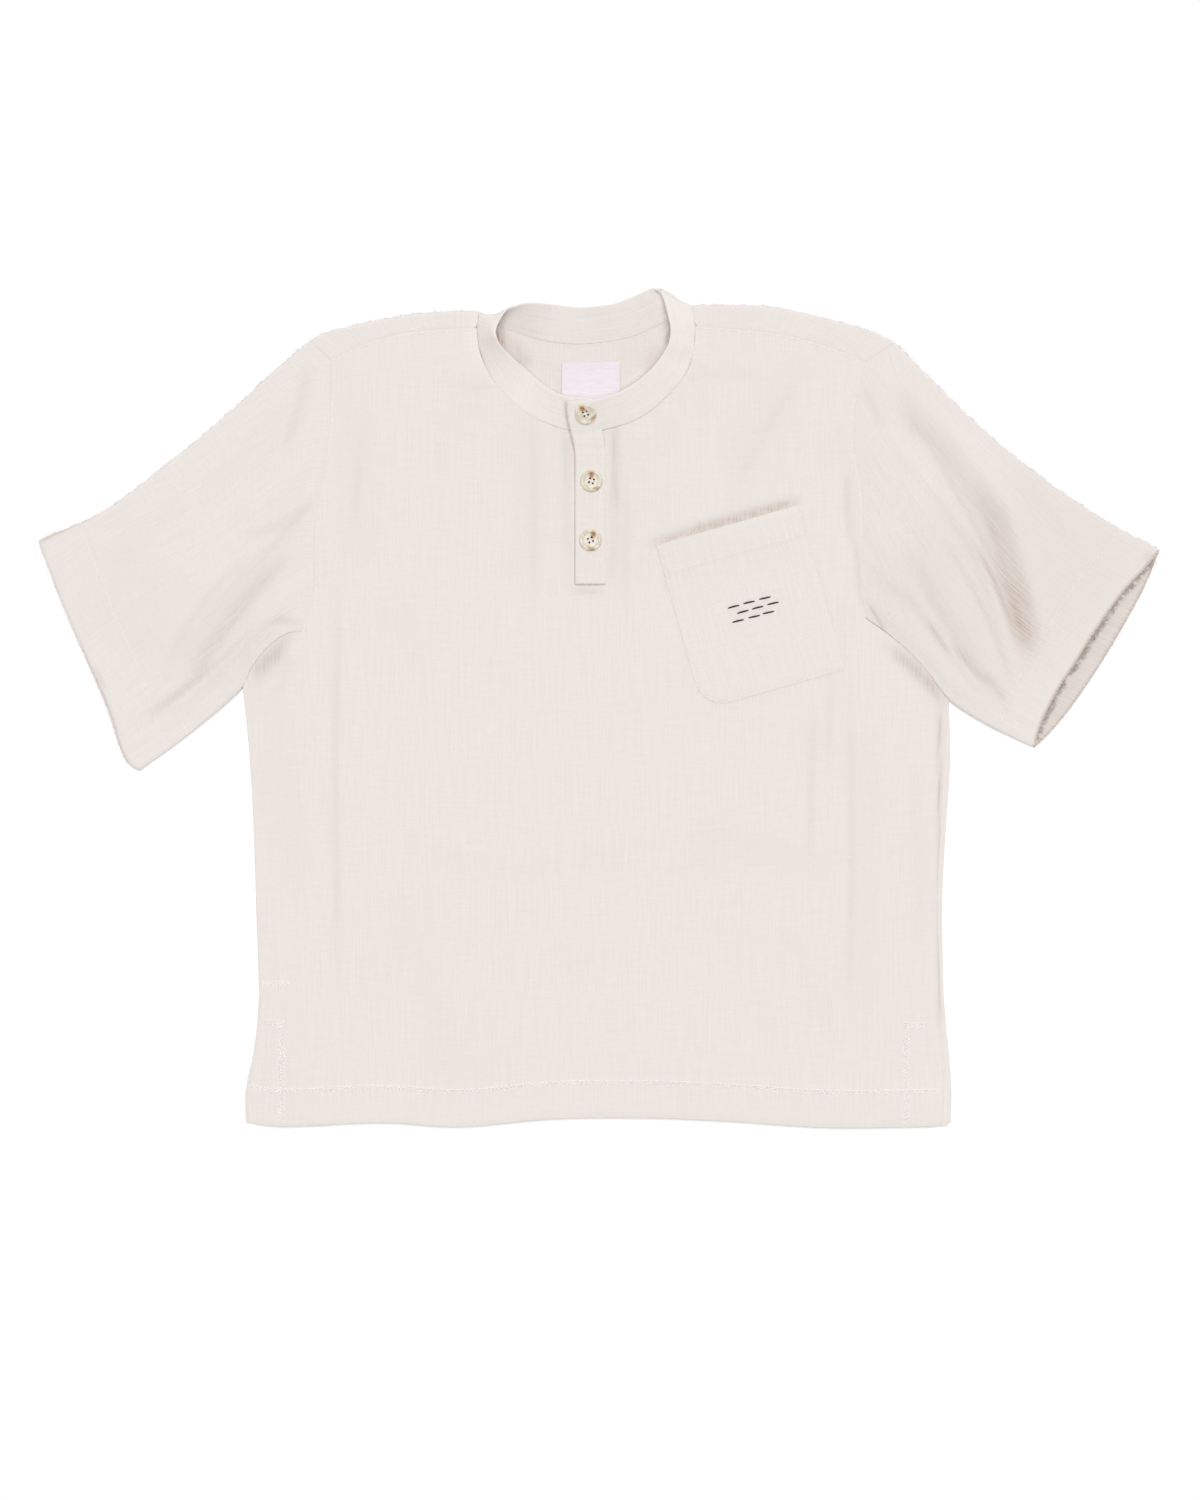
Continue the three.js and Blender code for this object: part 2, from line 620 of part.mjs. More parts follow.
// Sleeve: a flat tube. Each section runs along the lower layer, round the upper fold, back
// along the upper layer and round the lower fold.
function sleeve(name) {
  const { plan, layer, low, along, underarmShares } = LIE[name];
  const folds = SLEEVE_FOLDS[name];
  const width = (s) => apart(along.upper(s), along.lower(s));
  const hem = 1 - HEM_DEPTH / apart(along.upper(0), along.upper(1));
  const HEM_EDGE = 0.008;
  const FLAT = 12; // from a folded edge to where the folds have their full height
  const BUNCH = 40; // width over which the fuller lower fold sinks to the layer
  const underarm = underarmShares.at(-1);
  const free = Math.round((hem - underarm) / 0.1);
  const shares = [
    ...underarmShares,
    ...steps(free, (k) => lerp(underarm, hem - HEM_EDGE, k / free)).slice(1),
    hem + HEM_EDGE,
    (1 + hem) / 2,
    1,
  ];
  const section = (s) => {
    const wide = width(s);
    const lowerFold = (step) => {
      const { inset, z, up } = rollAt(step, low(s));
      return { t: 1 - inset / wide, z, up, loose: 0 };
    };
    const upperFold = (step) => {
      const { inset, z, up } = rollAt(step);
      return { t: inset / wide, z, up, loose: 0 };
    };
    const upperLayer = (k) => {
      const t = layer(s, k);
      const fromLower = (1 - t) * wide - low(s);
      const bunched = (2 * low(s) - TOP) * (1 - smooth(fromLower / BUNCH));
      const loose = smooth((t * wide - ROLL) / FLAT) * smooth(fromLower / FLAT);
      return { t, z: TOP + bunched, up: 1, loose };
    };
    return [
      ...steps(LAYER_STEPS - 1, (k) => ({ t: layer(s, LAYER_STEPS - k), z: 0, up: 0, loose: 0 })),
      ...steps(ROLL_STEPS - 1, upperFold),
      ...steps(LAYER_STEPS - 1, upperLayer),
      ...steps(ROLL_STEPS - 1, (k) => lowerFold(ROLL_STEPS - k)),
    ];
  };
  const sections = shares.map(section);
  const around = sections[0].length;
  const cloth = new Cloth();
  cloth.grid(around, shares.length - 1, (i, j) => {
    const s = shares[j];
    const { t, z, up, loose } = sections[j][(name === "left" ? around - i : i) % around];
    const lower = plan(s, t, "back");
    const upper = plan(s, t, "front");
    const p = mix(lower, upper, up);
    const inHem = s > hem;
    const held = smooth(s / 0.1) * (inHem ? 0.6 : 1);
    const fold = loose ? relief(folds, p.x, p.y) * loose * held : 0;
    return { ...p, z: z + fold + (inHem ? HEM_STEP * up : 0), wall: inHem ? HEM_CLOTH : CLOTH };
  });
  return cloth.solid();
}

// Stand collar: a band that runs once round the neck, its over end lapping its under end.
function collar() {
  const ROUND = (COLLAR.length - 1) / HALF;
  const UP = 4;
  const cloth = new Cloth();
  cloth.grid(UP, ROUND, (i, j) => ({ ...collarFace(j * HALF, i / UP), wall: BAND_CLOTH }));
  return cloth.solid();
}

// The outer face of the collar's over end, as a slope that rises from the neck seam.
function overEnd(x, y) {
  const [from, to] = COLLAR.slice(-2);
  const u = (x - from.x) / (to.x - from.x);
  const up = Math.max(0, y - lerp(from.y, to.y, u)) * Math.tan(BAND_SLOPE);
  return lerp(from.z, to.z, u) + up;
}

// What the over placket lies on: the front, then the collar's over end.
function underPlacket(x, y) {
  const STEP_FROM = 212;
  const STEP_TO = 224;
  return lerp(upperFace(x, y), overEnd(x, y), smooth((y - STEP_FROM) / (STEP_TO - STEP_FROM)));
}

// Over placket: a strip from the slit's foot to the collar's rim, lapping left over right.
function overPlacket() {
  const { left, right, bottom, top, topLeft, topRight, cloth: wall } = PLACKET;
  const LEAN_FROM = 195; // above this the strip leans towards the left
  const ROWS = 18;
  const COLUMNS = 4;
  const cloth = new Cloth();
  cloth.grid(COLUMNS, ROWS, (i, j) => {
    const y = lerp(bottom, top, j / ROWS);
    const lean = smooth((y - LEAN_FROM) / (top - LEAN_FROM));
    const x = lerp(lerp(left, topLeft, lean), lerp(right, topRight, lean), i / COLUMNS);
    return { x, y, z: underPlacket(x, y) + 1.5 * LAY_GAP + wall, wall };
  });
  return cloth.solid();
}

// Button stand: the strip under the slit, sewn to the front's other half.
function buttonStand() {
  const DOWN = 1.6; // below the front's outer face
  const cloth = new Cloth();
  cloth.grid(3, 8, (i, j) => ({
    x: lerp(PLACKET.left, PLACKET.right - 2, i / 3),
    y: lerp(PLACKET.bottom + 2, PLACKET.seam - 4, j / 8),
    z: TOP - CLOTH - DOWN,
    wall: CLOTH,
  }));
  return cloth.solid();
}

// Pocket: a patch turned a little, one lower corner round, its hemmed mouth gaping.
function pocket() {
  const { centreX, centreY, width, depth, round, hem, gape, turn } = POCKET;
  const COLUMNS = 10;
  const HEM_EDGE = 0.8;
  const GAPE_FROM = 0.55; // share of the depth above which the patch lifts off
  const edge = depth - hem;
  const CORNER = 4; // rows round the corner
  const heights = [
    ...steps(CORNER, (j) => round * (1 - Math.cos((Math.PI * j) / (2 * CORNER)))),
    ...steps(4, (j) => lerp(round, edge - HEM_EDGE, j / 4)).slice(1),
    edge + HEM_EDGE,
    lerp(edge, depth, 0.5),
    depth,
  ];
  const cloth = new Cloth();
  cloth.grid(COLUMNS, heights.length - 1, (i, j) => {
    const v = heights[j];
    const cut = v < round ? round - Math.sqrt(round ** 2 - (round - v) ** 2) : 0;
    const u = lerp(cut, width, i / COLUMNS);
    const across = u - width / 2;
    const up = v - depth / 2;
    const x = centreX + across * Math.cos(turn) - up * Math.sin(turn);
    const y = centreY + across * Math.sin(turn) + up * Math.cos(turn);
    const wall = v > edge ? HEM_CLOTH : CLOTH;
    const lift = smooth((v / depth - GAPE_FROM) / (1 - GAPE_FROM)) * Math.sin((Math.PI * u) / width);
    return { x, y, z: upperFace(x, y) + LAY_GAP + wall + gape * lift, wall };
  });
  return cloth.solid();
}

// Neck label: a plain woven tab sewn inside the back.
function label() {
  const { left, right, bottom, top, tilt, cloth: wall } = LABEL;
  const cloth = new Cloth();
  cloth.grid(3, 3, (i, j) => ({
    x: lerp(left, right, i / 3),
    y: lerp(bottom, top, j / 3) + (tilt * i) / 3,
    z: CLOTH + LAY_GAP + wall,
    wall,
  }));
  return cloth.solid();
}

// Turns a geometry into a manifold solid, and back.
function toSolid(geometry) {
  const bare = geometry.clone();
  bare.deleteAttribute("normal");
  bare.deleteAttribute("uv");
  const merged = mergeVertices(bare, 1e-4);
  return new wasm.Manifold(
    new wasm.Mesh({
      numProp: 3,
      vertProperties: new Float32Array(merged.attributes.position.array),
      triVerts: new Uint32Array(merged.index.array),
    }),
  );
}
function toGeometry(solid) {
  const mesh = solid.getMesh();
  const geometry = new THREE.BufferGeometry();
  geometry.setAttribute("position", new THREE.Float32BufferAttribute(mesh.vertProperties, 3));
  geometry.setIndex([...mesh.triVerts]);
  geometry.computeVertexNormals();
  return geometry;
}

// Button: a turned disc with a raised rim, a dished middle and four holes.
function button() {
  const { radius, thick, dish, hole, holeSpread, turn } = BUTTON;
  const profile = [
    [0, 0],
    [radius * 0.7, 0],
    [radius, thick * 0.45],
    [radius * 0.97, thick * 0.85],
    [radius * 0.82, thick],
    [radius * 0.52, thick - dish],
    [0, thick - dish],
  ].map(([r, z]) => new THREE.Vector2(r, z));
  const disc = new THREE.LatheGeometry(profile, 18);
  disc.rotateX(Math.PI / 2);
  let solid = toSolid(disc);
  for (let k = 0; k < 4; k++) {
    const angle = turn + (k * Math.PI) / 2;
    const drill = new THREE.CylinderGeometry(hole, hole, thick * 3, 6);
    drill.rotateX(Math.PI / 2);
    drill.translate(Math.cos(angle) * holeSpread, Math.sin(angle) * holeSpread, 0);
    solid = solid.subtract(toSolid(drill));
  }
  return toGeometry(solid);
}

const material = (name, color, roughness) =>
  new THREE.MeshStandardMaterial({ name, color, roughness, metalness: 0, side: THREE.DoubleSide });
const gauze = material("cotton double gauze", "#ece5df", 0.95);
const tape = material("woven label tape", "#efe6ec", 0.85);
const horn = material("mottled horn resin", "#d9cfb4", 0.35);

const shirt = new THREE.Group();
function add(name, geometry, finish) {
  const mesh = new THREE.Mesh(geometry, finish);
  mesh.name = name;
  shirt.add(mesh);
  return mesh;
}

add("back", back(), gauze);
add("front", front(), gauze);
add("sleeve_left", sleeve("left"), gauze);
add("sleeve_right", sleeve("right"), gauze);
add("collar", collar(), gauze);
add("placket_over", overPlacket(), gauze);
add("placket_under", buttonStand(), gauze);
add("pocket", pocket(), gauze);
add("label", label(), tape);
for (const place of BUTTON_PLACES) {
  const mesh = add(place.name, button(), horn);
  const onBand = place.y > PLACKET.seam;
  const thread = LAY_GAP * (onBand ? 4.5 : 2.5); // holds the button off the cloth
  mesh.rotation.x = onBand ? BAND_SLOPE : 0;
  mesh.position.set(place.x, place.y, underPlacket(place.x, place.y) + PLACKET.cloth + thread);
}

export default shirt;
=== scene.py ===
"""A short-sleeved henley shirt in crinkled cotton double gauze, laid flat on its back.

Sizes are in millimetres, in the frame's own directions: +X is the viewer's right, +Y runs
from the hem to the collar and +Z is up from the surface. They become metres in the meshes.
Each panel of cloth is a surface of two parameters, closed into a thin shell.
"""

import logging
import math
from dataclasses import dataclass, field
from enum import Enum

import bpy
import numpy as np
from bpy.types import ID, Material, Mesh, Node, NodeSocket, NodeTree, Object
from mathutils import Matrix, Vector


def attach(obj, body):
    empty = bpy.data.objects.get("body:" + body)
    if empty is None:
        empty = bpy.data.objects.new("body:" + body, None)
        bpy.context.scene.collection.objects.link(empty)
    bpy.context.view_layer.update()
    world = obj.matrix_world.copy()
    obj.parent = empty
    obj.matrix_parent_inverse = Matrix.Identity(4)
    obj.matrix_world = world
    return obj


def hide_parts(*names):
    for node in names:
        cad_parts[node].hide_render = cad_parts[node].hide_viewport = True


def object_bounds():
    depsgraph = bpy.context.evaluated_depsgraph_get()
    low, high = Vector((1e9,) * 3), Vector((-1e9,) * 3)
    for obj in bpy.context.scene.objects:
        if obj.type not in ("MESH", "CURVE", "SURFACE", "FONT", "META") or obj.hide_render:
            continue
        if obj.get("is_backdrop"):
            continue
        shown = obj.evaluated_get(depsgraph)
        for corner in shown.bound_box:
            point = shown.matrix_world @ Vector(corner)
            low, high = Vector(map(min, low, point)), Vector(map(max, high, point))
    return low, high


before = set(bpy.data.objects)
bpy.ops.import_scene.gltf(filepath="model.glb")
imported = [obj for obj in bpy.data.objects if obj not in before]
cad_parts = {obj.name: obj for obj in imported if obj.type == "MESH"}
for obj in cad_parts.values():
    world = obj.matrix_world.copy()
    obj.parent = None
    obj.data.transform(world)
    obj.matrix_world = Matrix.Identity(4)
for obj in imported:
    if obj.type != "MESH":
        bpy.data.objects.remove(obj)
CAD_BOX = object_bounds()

logging.basicConfig(level=logging.INFO, format="%(message)s")
log = logging.getLogger("henley")

Array = np.ndarray
Row = tuple[float, ...]
Table = tuple[Row, ...]

MM = 0.001  # metres in a millimetre
BODY = "root"

# Cloth and layers
CLOTH = 1.2  # double gauze, both layers with the air between them
HEM_CLOTH = 2.0  # where a hem is turned up
SEAM = 0.03  # between the edges of two pieces that are sewn together
LAY = 0.3  # between two layers that lie on each other
TOP = 5.6  # outer face of the upper layer above the floor
ROLL = TOP / 2  # radius of a folded edge
DEEPEST = 2.8  # a trough stops here, above the layer beneath
HEM_DEPTH = 31.0
HEM_STEP = 0.4  # how far a turned-up hem stands proud
BAND_HEIGHT = 30.0
BAND_CLOTH = 1.8  # the collar band: two layers and an interfacing
SHARP = 55.0  # degrees; an edge that turns by more keeps a crisp line
BAND_SLOPE = 0.37  # how steeply the band rises where its ends lap


def smooth(q: Array) -> Array:
    """A soft step: 0 below 0, 1 above 1, and 3q squared less 2q cubed between."""
    q = np.clip(q, 0.0, 1.0)
    return q * q * (3.0 - 2.0 * q)


def lerp(a: Array, b: Array, q: Array) -> Array:
    """The value a share q of the way from a to b."""
    return a + (b - a) * q


def bell(off: Array, spread: Array) -> Array:
    """A hump of height 1 that falls away over the spread: e to the minus square."""
    return np.exp(-((off / spread) ** 2))


def stack(*parts: Array | float) -> Array:
    """Puts coordinates together as points, each spread to the shape of the others."""
    return np.stack(np.broadcast_arrays(*parts), axis=-1)


def raised(plan: Array, z: Array | float) -> Array:
    """Plan points with their heights."""
    return stack(plan[..., 0], plan[..., 1], z)


def unit(vectors: Array) -> Array:
    """The vectors at length 1."""
    return vectors / np.maximum(np.linalg.norm(vectors, axis=-1, keepdims=True), 1e-12)


def run(path: Array, axis: int = 0) -> Array:
    """The length along a path, or along each of a grid's, up to each of its points."""
    steps = np.linalg.norm(np.diff(path, axis=axis), axis=-1)
    return np.insert(np.cumsum(steps, axis=axis), 0, 0.0, axis=axis)


class Line:
    """A smooth curve through a table's rows, read at shares of its length.

    Between two rows it is a cubic whose end tangents come from the neighbouring rows, each
    gap weighted by the square root of its length.
    """

    FINE = 48  # samples between two rows

    def __init__(self, rows: Table | Array) -> None:
        """Samples the curve finely.

        Args:
            rows: The points that it runs through, in order.
        """
        knots = np.array(rows, float)
        p0 = np.vstack([2 * knots[0] - knots[1], knots[:-2]])
        p1, p2 = knots[:-1], knots[1:]
        p3 = np.vstack([knots[2:], 2 * knots[-1] - knots[-2]])
        d0, d1, d2 = (self._gap(a, b) for a, b in ((p0, p1), (p1, p2), (p2, p3)))
        leave = ((p1 - p0) / d0 - (p2 - p0) / (d0 + d1) + (p2 - p1) / d1) * d1
        arrive = ((p2 - p1) / d1 - (p3 - p1) / (d1 + d2) + (p3 - p2) / d2) * d1
        q = np.linspace(0, 1, self.FINE, endpoint=False)[None, :, None]
        square = (3 * (p2 - p1) - 2 * leave - arrive)[:, None]
        cube = (2 * (p1 - p2) + leave + arrive)[:, None]
        cubic = p1[:, None] + leave[:, None] * q + square * q**2 + cube * q**3
        self.points = np.vstack([cubic.reshape(-1, knots.shape[1]), knots[-1:]])
        lengths = run(self.points)
        self.length = float(lengths[-1])
        self.shares = lengths / self.length
        self.row_shares = self.shares[:: self.FINE]

    @staticmethod
    def _gap(a: Array, b: Array) -> Array:
        """The square root of the distance from each a to its b."""
        return np.sqrt(np.linalg.norm(b - a, axis=1, keepdims=True))

    def at(self, share: Array) -> Array:
        """The points at these shares of the length, one more axis deep."""
        columns = [np.interp(share, self.shares, column) for column in self.points.T]
        return np.stack(columns, axis=-1)

    def at_row(self, station: Array) -> Array:
        """The points at these row numbers, which may fall between two rows."""
        rows = np.arange(len(self.row_shares))
        return self.at(np.interp(station, rows, self.row_shares))


def aside(points: Array, distance: Array | float) -> Array:
    """Moves a line of points sideways in plan, to the left of its direction of travel.

    Args:
        points: The line, one point a row.
        distance: How far, for each point or for all.

    Returns:
        The moved points, their heights unchanged.
    """
    ahead = np.vstack([points[1:], points[-1:]]) - np.vstack([points[:1], points[:-1]])
    across = unit(ahead[:, :2])
    moved = points.copy()
    moved[:, 0] -= across[:, 1] * distance
    moved[:, 1] += across[:, 0] * distance
    return moved


@dataclass(frozen=True)
class Crease:
    """A soft fold between two points: a ridge where its height is positive, else a trough."""

    x0: float
    y0: float
    x1: float
    y1: float
    spread: float
    height: float
    bow: float = 0.0  # how far its middle lies to the right of the straight line
    lean: float = 0.0  # -1 to 1: one side steeper than the other
    fade: float = 0.22  # share of its length over which each end dies away

    def at(self, x: Array, y: Array) -> Array:
        """The height that it adds at plan points: a bell across it, soft at both ends."""
        dx, dy = self.x1 - self.x0, self.y1 - self.y0
        length = math.hypot(dx, dy)
        along = ((x - self.x0) * dx + (y - self.y0) * dy) / length**2
        off = ((x - self.x0) * dy - (y - self.y0) * dx) / length
        off = off - self.bow * 4 * along * (1 - along)
        spread = self.spread * (1 + 0.6 * self.lean * np.tanh(off / self.spread))
        start = smooth((along + self.fade) / (2 * self.fade))
        end = smooth((1 + self.fade - along) / (2 * self.fade))
        return self.height * bell(off, spread) * start * end


def relief(creases: list[Crease], x: Array, y: Array) -> Array:
    """The sum of what a set of creases adds at plan points, no trough deeper than DEEPEST."""
    total = np.zeros(np.broadcast(x, y).shape)
    for crease in creases:
        total = total + crease.at(x, y)
    return np.maximum(total, -DEEPEST)


@dataclass(frozen=True)
class Crinkle:
    """The fine creases that double gauze dries into: many short strokes along the warp."""

    seed: int
    count: int
    area: tuple[float, float, float, float]  # left, bottom, right, top
    along: tuple[float, float] = (0.0, 1.0)  # direction of the warp
    lengths: tuple[float, float] = (35.0, 130.0)
    spreads: tuple[float, float] = (2.3, 4.6)
    heights: tuple[float, float] = (0.08, 0.30)

    def creases(self) -> list[Crease]:
        """Draws the strokes with a seeded generator, three in five of them troughs."""
        rng = np.random.default_rng(self.seed)
        left, bottom, right, top = self.area
        x = rng.uniform(left, right, self.count)
        y = rng.uniform(bottom, top, self.count)
        length = rng.uniform(*self.lengths, self.count)
        spread = rng.uniform(*self.spreads, self.count)
        height = rng.uniform(*self.heights, self.count)
        height = height * np.where(rng.uniform(size=self.count) < 0.6, -1, 1)
        turn = rng.normal(0, 0.045, self.count)
        bow = rng.normal(0, 1.5, self.count)
        ux = self.along[0] - self.along[1] * turn
        uy = self.along[1] + self.along[0] * turn
        rows = zip(x, y, x + ux * length, y + uy * length, spread, height, bow)
        return [Crease(*(float(value) for value in row), fade=0.4) for row in rows]


# Folds of the cloth, as rows of Crease: two ends, spread, height, bow, lean and fade.
LEFT_FOLDS: Table = (
    (-264, 118, -334, 30, 6.0, -2.0, 3, 0.3, 0.15), (-246, 146, -345, 20, 14, -0.9, 3),
    (-252, 98, -345, 2, 8, 4.4, 2), (-272, 142, -350, 50, 8, 3.0, 3),
    (-262, 172, -372, 60, 19, 1.2, -6), (-243, 280, -259, 216, 4.5, -0.9, -2, -0.4),
    (-262, 262, -300, 190, 16, 1.3), (-293, 60, -372, -4, 2.6, -0.7, -5, 0.5),
    (-285, 74, -366, 6, 3.0, 0.6, -5), (-322, 35, -372, -11, 3.6, -0.9, 0, 0.5),
    (-240, 166, -286, 143, 4.5, -0.9, -3), (-236, 174, -268, 134, 4, -0.6),
    (-300, 118, -352, 48, 4, -0.7, 3), (-345, 170, -402, 118, 9, -0.6),
    (-276, 222, -334, 160, 8, -0.5, 4), (-330, 205, -372, 168, 7, 0.5),
    (-270, 70, -248, 70, 3, -0.9, -2), (-282, 66, -256, 76, 3.5, 0.8, -3),
)
RIGHT_FOLDS: Table = (
    (258, 240, 326, 152, 7.0, -2.2, -2, -0.3), (322, 164, 354, 48, 7.0, -3.6, -3, -0.4),
    (252, 262, 356, 60, 17, -0.8, -6), (272, 250, 346, 158, 8.5, 3.4, -2),
    (340, 168, 372, 50, 7.5, 4.6, -3), (292, 252, 396, 92, 20, 1.6, -5),
    (246, 220, 314, 136, 8.5, 3.2, -2), (309, 148, 341, 40, 7, 4.2, -3),
    (238, 214, 318, 62, 18, 1.4, 4), (262, 118, 334, 4, 7, -1.8, 3, -0.4),
    (236, 84, 316, 4, 10, 2.0), (222, 264, 235, 236, 4, -0.9, 0, 0.4),
    (254, 262, 264, 224, 6, -0.8), (284, 200, 352, 66, 3.2, -0.8, -4),
    (318, 124, 345, 62, 2.4, -0.9, -2), (325, 132, 355, 68, 2.4, 0.7, -2),
    (310, 140, 338, 84, 2.2, -0.6, -2), (300, 150, 346, 40, 2.8, 0.5, -3),
    (292, 132, 340, 30, 2.8, -0.6, -3), (275, 70, 291, 46, 2.6, -1.0, 1),
    (282, 76, 300, 52, 2.8, 0.6, 1), (296, 50, 322, 21, 2.8, -1.1, 1),
    (304, 54, 330, 26, 3.0, 0.7, 1), (256, 96, 318, 10, 3.2, -0.6, 2),
    (322, 24, 338, 6, 3.0, -0.9), (340, 200, 398, 128, 8, -0.5), (228, 112, 262, 84, 6, -0.8, 2),
)
FRONT_FOLDS: Table = (
    (13.2, 232, 13.4, 168, 3.6, -1.5), (14, 176, 11, 104, 4.5, -0.8), (28, 240, 25, 110, 7, 1.5),
    (-25, 232, -23, 112, 4.0, -1.4), (-20, 98, 2, 96, 3.0, -1.0, 1),
    (46, 136.4, 164, 169.4, 3.0, -2.0, 0, 0, 0.1), (-286, 30, -257, 60, 6.5, -2.6, 2),
    (243, 48, 287, 6, 6.0, -2.8, -2), (-55, 240, -57, 115, 12, -0.9),
    (-80, 262, -83, 120, 15, 0.7), (172, 286, 108, 178, 17, -1.2, 4),
    (196, 255, 204, 125, 11, 0.9), (-205, 262, -203, 130, 14, -0.9),
    (-268, -20, -254, -170, 12, -0.9, -3), (-185, -88, -60, -130, 13, 0.8, 5),
    (-70, -130, 45, -100, 13, 0.8, 5), (90, -110, 190, -132, 12, -0.9),
    (225, -30, 222, -250, 10, -0.8), (-160, -180, -120, -330, 16, -0.8),
    (-216, 73, -216, -201, 3.2, -0.7, 1.5, 0.4), (-212, 60, -211, -190, 4.5, 0.4, 1.5),
    (209, 6, 209, -234, 3.2, -0.6, -1.5), (178, -8, 176, -120, 3.0, -0.55),
    (171, -4, 169, -140, 4.0, 0.4), (-53, 215, -53, 84, 3.4, -0.5), (23, 180, 23, 91, 3.4, -0.5),
    (41, 226, 39, 120, 4.2, 0.4), (-30, 200, -33, 120, 4.5, -0.35),
    (-194, 242, -203, 156, 5, -0.5), (165, 268, 113, 176, 5.5, -0.5, 3),
    (201, 225, 217, 114, 5, -0.5, -3), (206, 190, 210, 138, 3.2, -0.9, 1),
    (213, 186, 216, 140, 3.5, 0.7, 1), (214, 134, 218, 92, 2.8, -0.9),
    (207, 126, 211, 78, 4.0, 0.6), (179, 24, 181, -44, 2.4, 0.5), (193, 20, 191, -46, 2.4, -0.5),
    (-119, 268, -86, 266, 5, -0.7, 2), (76, 273, 133, 274, 5, -0.6, -3),
    (-112, 250, -78, 222, 7, -0.4), (88, 244, 62, 214, 8, -0.4),
    (-169, -100, -65, -127, 5.5, 0.5, 4), (-65, -127, 32, -100, 5.5, 0.5, 4),
    (109, -117, 177, -128, 5, 0.5, 3), (149, -185, 169, -205, 5, -0.5),
    (-120, -60, -118, -200, 9, -0.35), (-20, 40, -24, -90, 8, -0.3), (70, -20, 66, -190, 7, -0.35),
    (128, -160, 122, -300, 8, -0.3), (-88, 60, -92, -60, 6, 0.3), (-252, 40, -272, 0, 6, -0.6),
    (262, -60, 268, -190, 5, -0.5), (20, -200, 26, -315, 9, -0.3),
    (-230, -220, -226, -320, 7, -0.35), (283.5, 0, 284, -262, 1.8, -1.3, 0, 0, 0.06),
)
BACK_FOLDS: Table = (
    (-150, 210, -156, 40, 9, 0.5, 4), (60, 180, 72, -30, 8, 0.45, -4),
    (190, 120, 182, -60, 7, 0.5), (-60, -40, -130, -160, 10, 0.5, 6),
    (110, -150, 190, -220, 9, 0.45, -5), (-230, -60, -222, -250, 8, 0.5),
    (10, -220, -30, -320, 8, 0.4),
)
PLACKET_FOLDS: Table = (
    (-19, 214, 4, 209, 3.0, 0.35, 1), (-16, 200, 2, 203, 3.5, -0.35), (-14, 172, 2, 176, 4, 0.3),
    (-16, 160, 0, 156, 3.5, -0.3), (-12, 124, 3, 120, 4, 0.3), (-15, 112, 2, 114, 4, -0.3),
)
POCKET_FOLDS: Table = (
    (104, 118, 98, 62, 5, -0.35), (150, 118, 140, 74, 6, 0.35), (120, 60, 114, 22, 5, -0.3),
    (158, 62, 152, 30, 5, -0.3),
)
# Painted shade: places that the light hardly reaches, in the same rows, with a share of the
# painted shade's tone as the height.
LEFT_SHADES: Table = (
    (-464, 138, -416, 161, 2.0, 0.45, 0, 0, 0.1), (-417, 32, -409, 14, 2.4, 0.2),
    (-350, 110, -380, 40, 90, 0.045),
)
RIGHT_SHADES: Table = (
    (300, 170, 400, 60, 110, 0.085), (346, 104, 358, 50, 9, 0.16), (226, 84, 238, 64, 2.0, 0.35),
    (455, 128, 462, 118, 5, 0.2),
)
FRONT_SHADES: Table = (
    (80, 149, 164, 172, 4.0, 0.16, 0, 0, 0.1), (-286, 24, -262, 48, 8, 0.2),
    (250, 42, 289, 8, 6, 0.12), (218, 90, 236, 66, 1.6, 0.3),
)
BACK_SHADES: Table = (
    (-88, 316, -80, 303, 6.5, 0.9), (-78, 306, -58, 283, 7.0, 0.3),
    (60, 322, 59, 302, 4.2, 0.6), (52, 298, 40, 282, 6.0, 0.2), (-2, 262, -28, 266, 7, 0.15),
)
TROUGH_TONE = 0.5  # share of the painted shade's full tone that a trough as deep as its spread takes
LEAST_TROUGH = 0.45  # of those deeper than this


def creases(rows: Table) -> list[Crease]:
    """The folds of a table."""
    return [Crease(*row) for row in rows]


def painted_shade(folds: Table, shades: Table, x: Array, y: Array) -> Array:
    """How dark the painted shade is at plan points, from 0 to 1.

    A share of each deeper trough's steepness, plus the shades of their own.
    """
    deep = [fold for fold in creases(folds) if fold.height < -LEAST_TROUGH]
    total = sum(-TROUGH_TONE / fold.spread * fold.at(x, y) for fold in deep)
    total = total + sum(shade.at(x, y) for shade in creases(shades))
    return np.clip(total, 0.0, 1.0)


# The shirt's outline: the body's side edges and how far inside them the front's lie.
SIDE_HEIGHTS = (-344.0, -318.0, -288.0, -255.0, -160.0, -100.0, -44.0)
SIDE_EDGE = {
    "left": (-292.0, -292.0, -286.0, -282.0, -284.0, -286.0, -289.0),
    "right": (292.5, 293.0, 291.0, 288.0, 286.0, 289.0, 292.5),
}
FRONT_INSET = {
    "left": (1.5, 1.5, 1.5, 1.0, 0.5, 0.5, 0.5),
    "right": (6.5, 6.5, 5.5, 3.0, 4.0, 4.5, 4.5),
}
# The lower edge of the front and back, which waves a little.
HEM: Table = (
    (-292, -344), (-264, -347), (-177, -344), (-116, -347.5), (-40, -341), (40, -340),
    (112, -343), (190, -348), (292.5, -347),
)
# The forward shoulder, from the armhole to the neck: the fold along the top and the seam.
SHOULDER_FOLD: dict[str, Table] = {
    "left": ((-240, 304), (-222, 312), (-177, 322.5), (-140, 328), (-98.8, 329.2)),
    "right": ((247, 303), (222, 314), (184, 324), (140, 333), (78.8, 334.2)),
}
SHOULDER_SEAM: dict[str, Table] = {
    "left": ((-222, 289), (-197, 301), (-163, 311), (-100.9, 316)),
    "right": ((222, 287), (198, 297.5), (158, 309), (80.9, 317.5)),
}
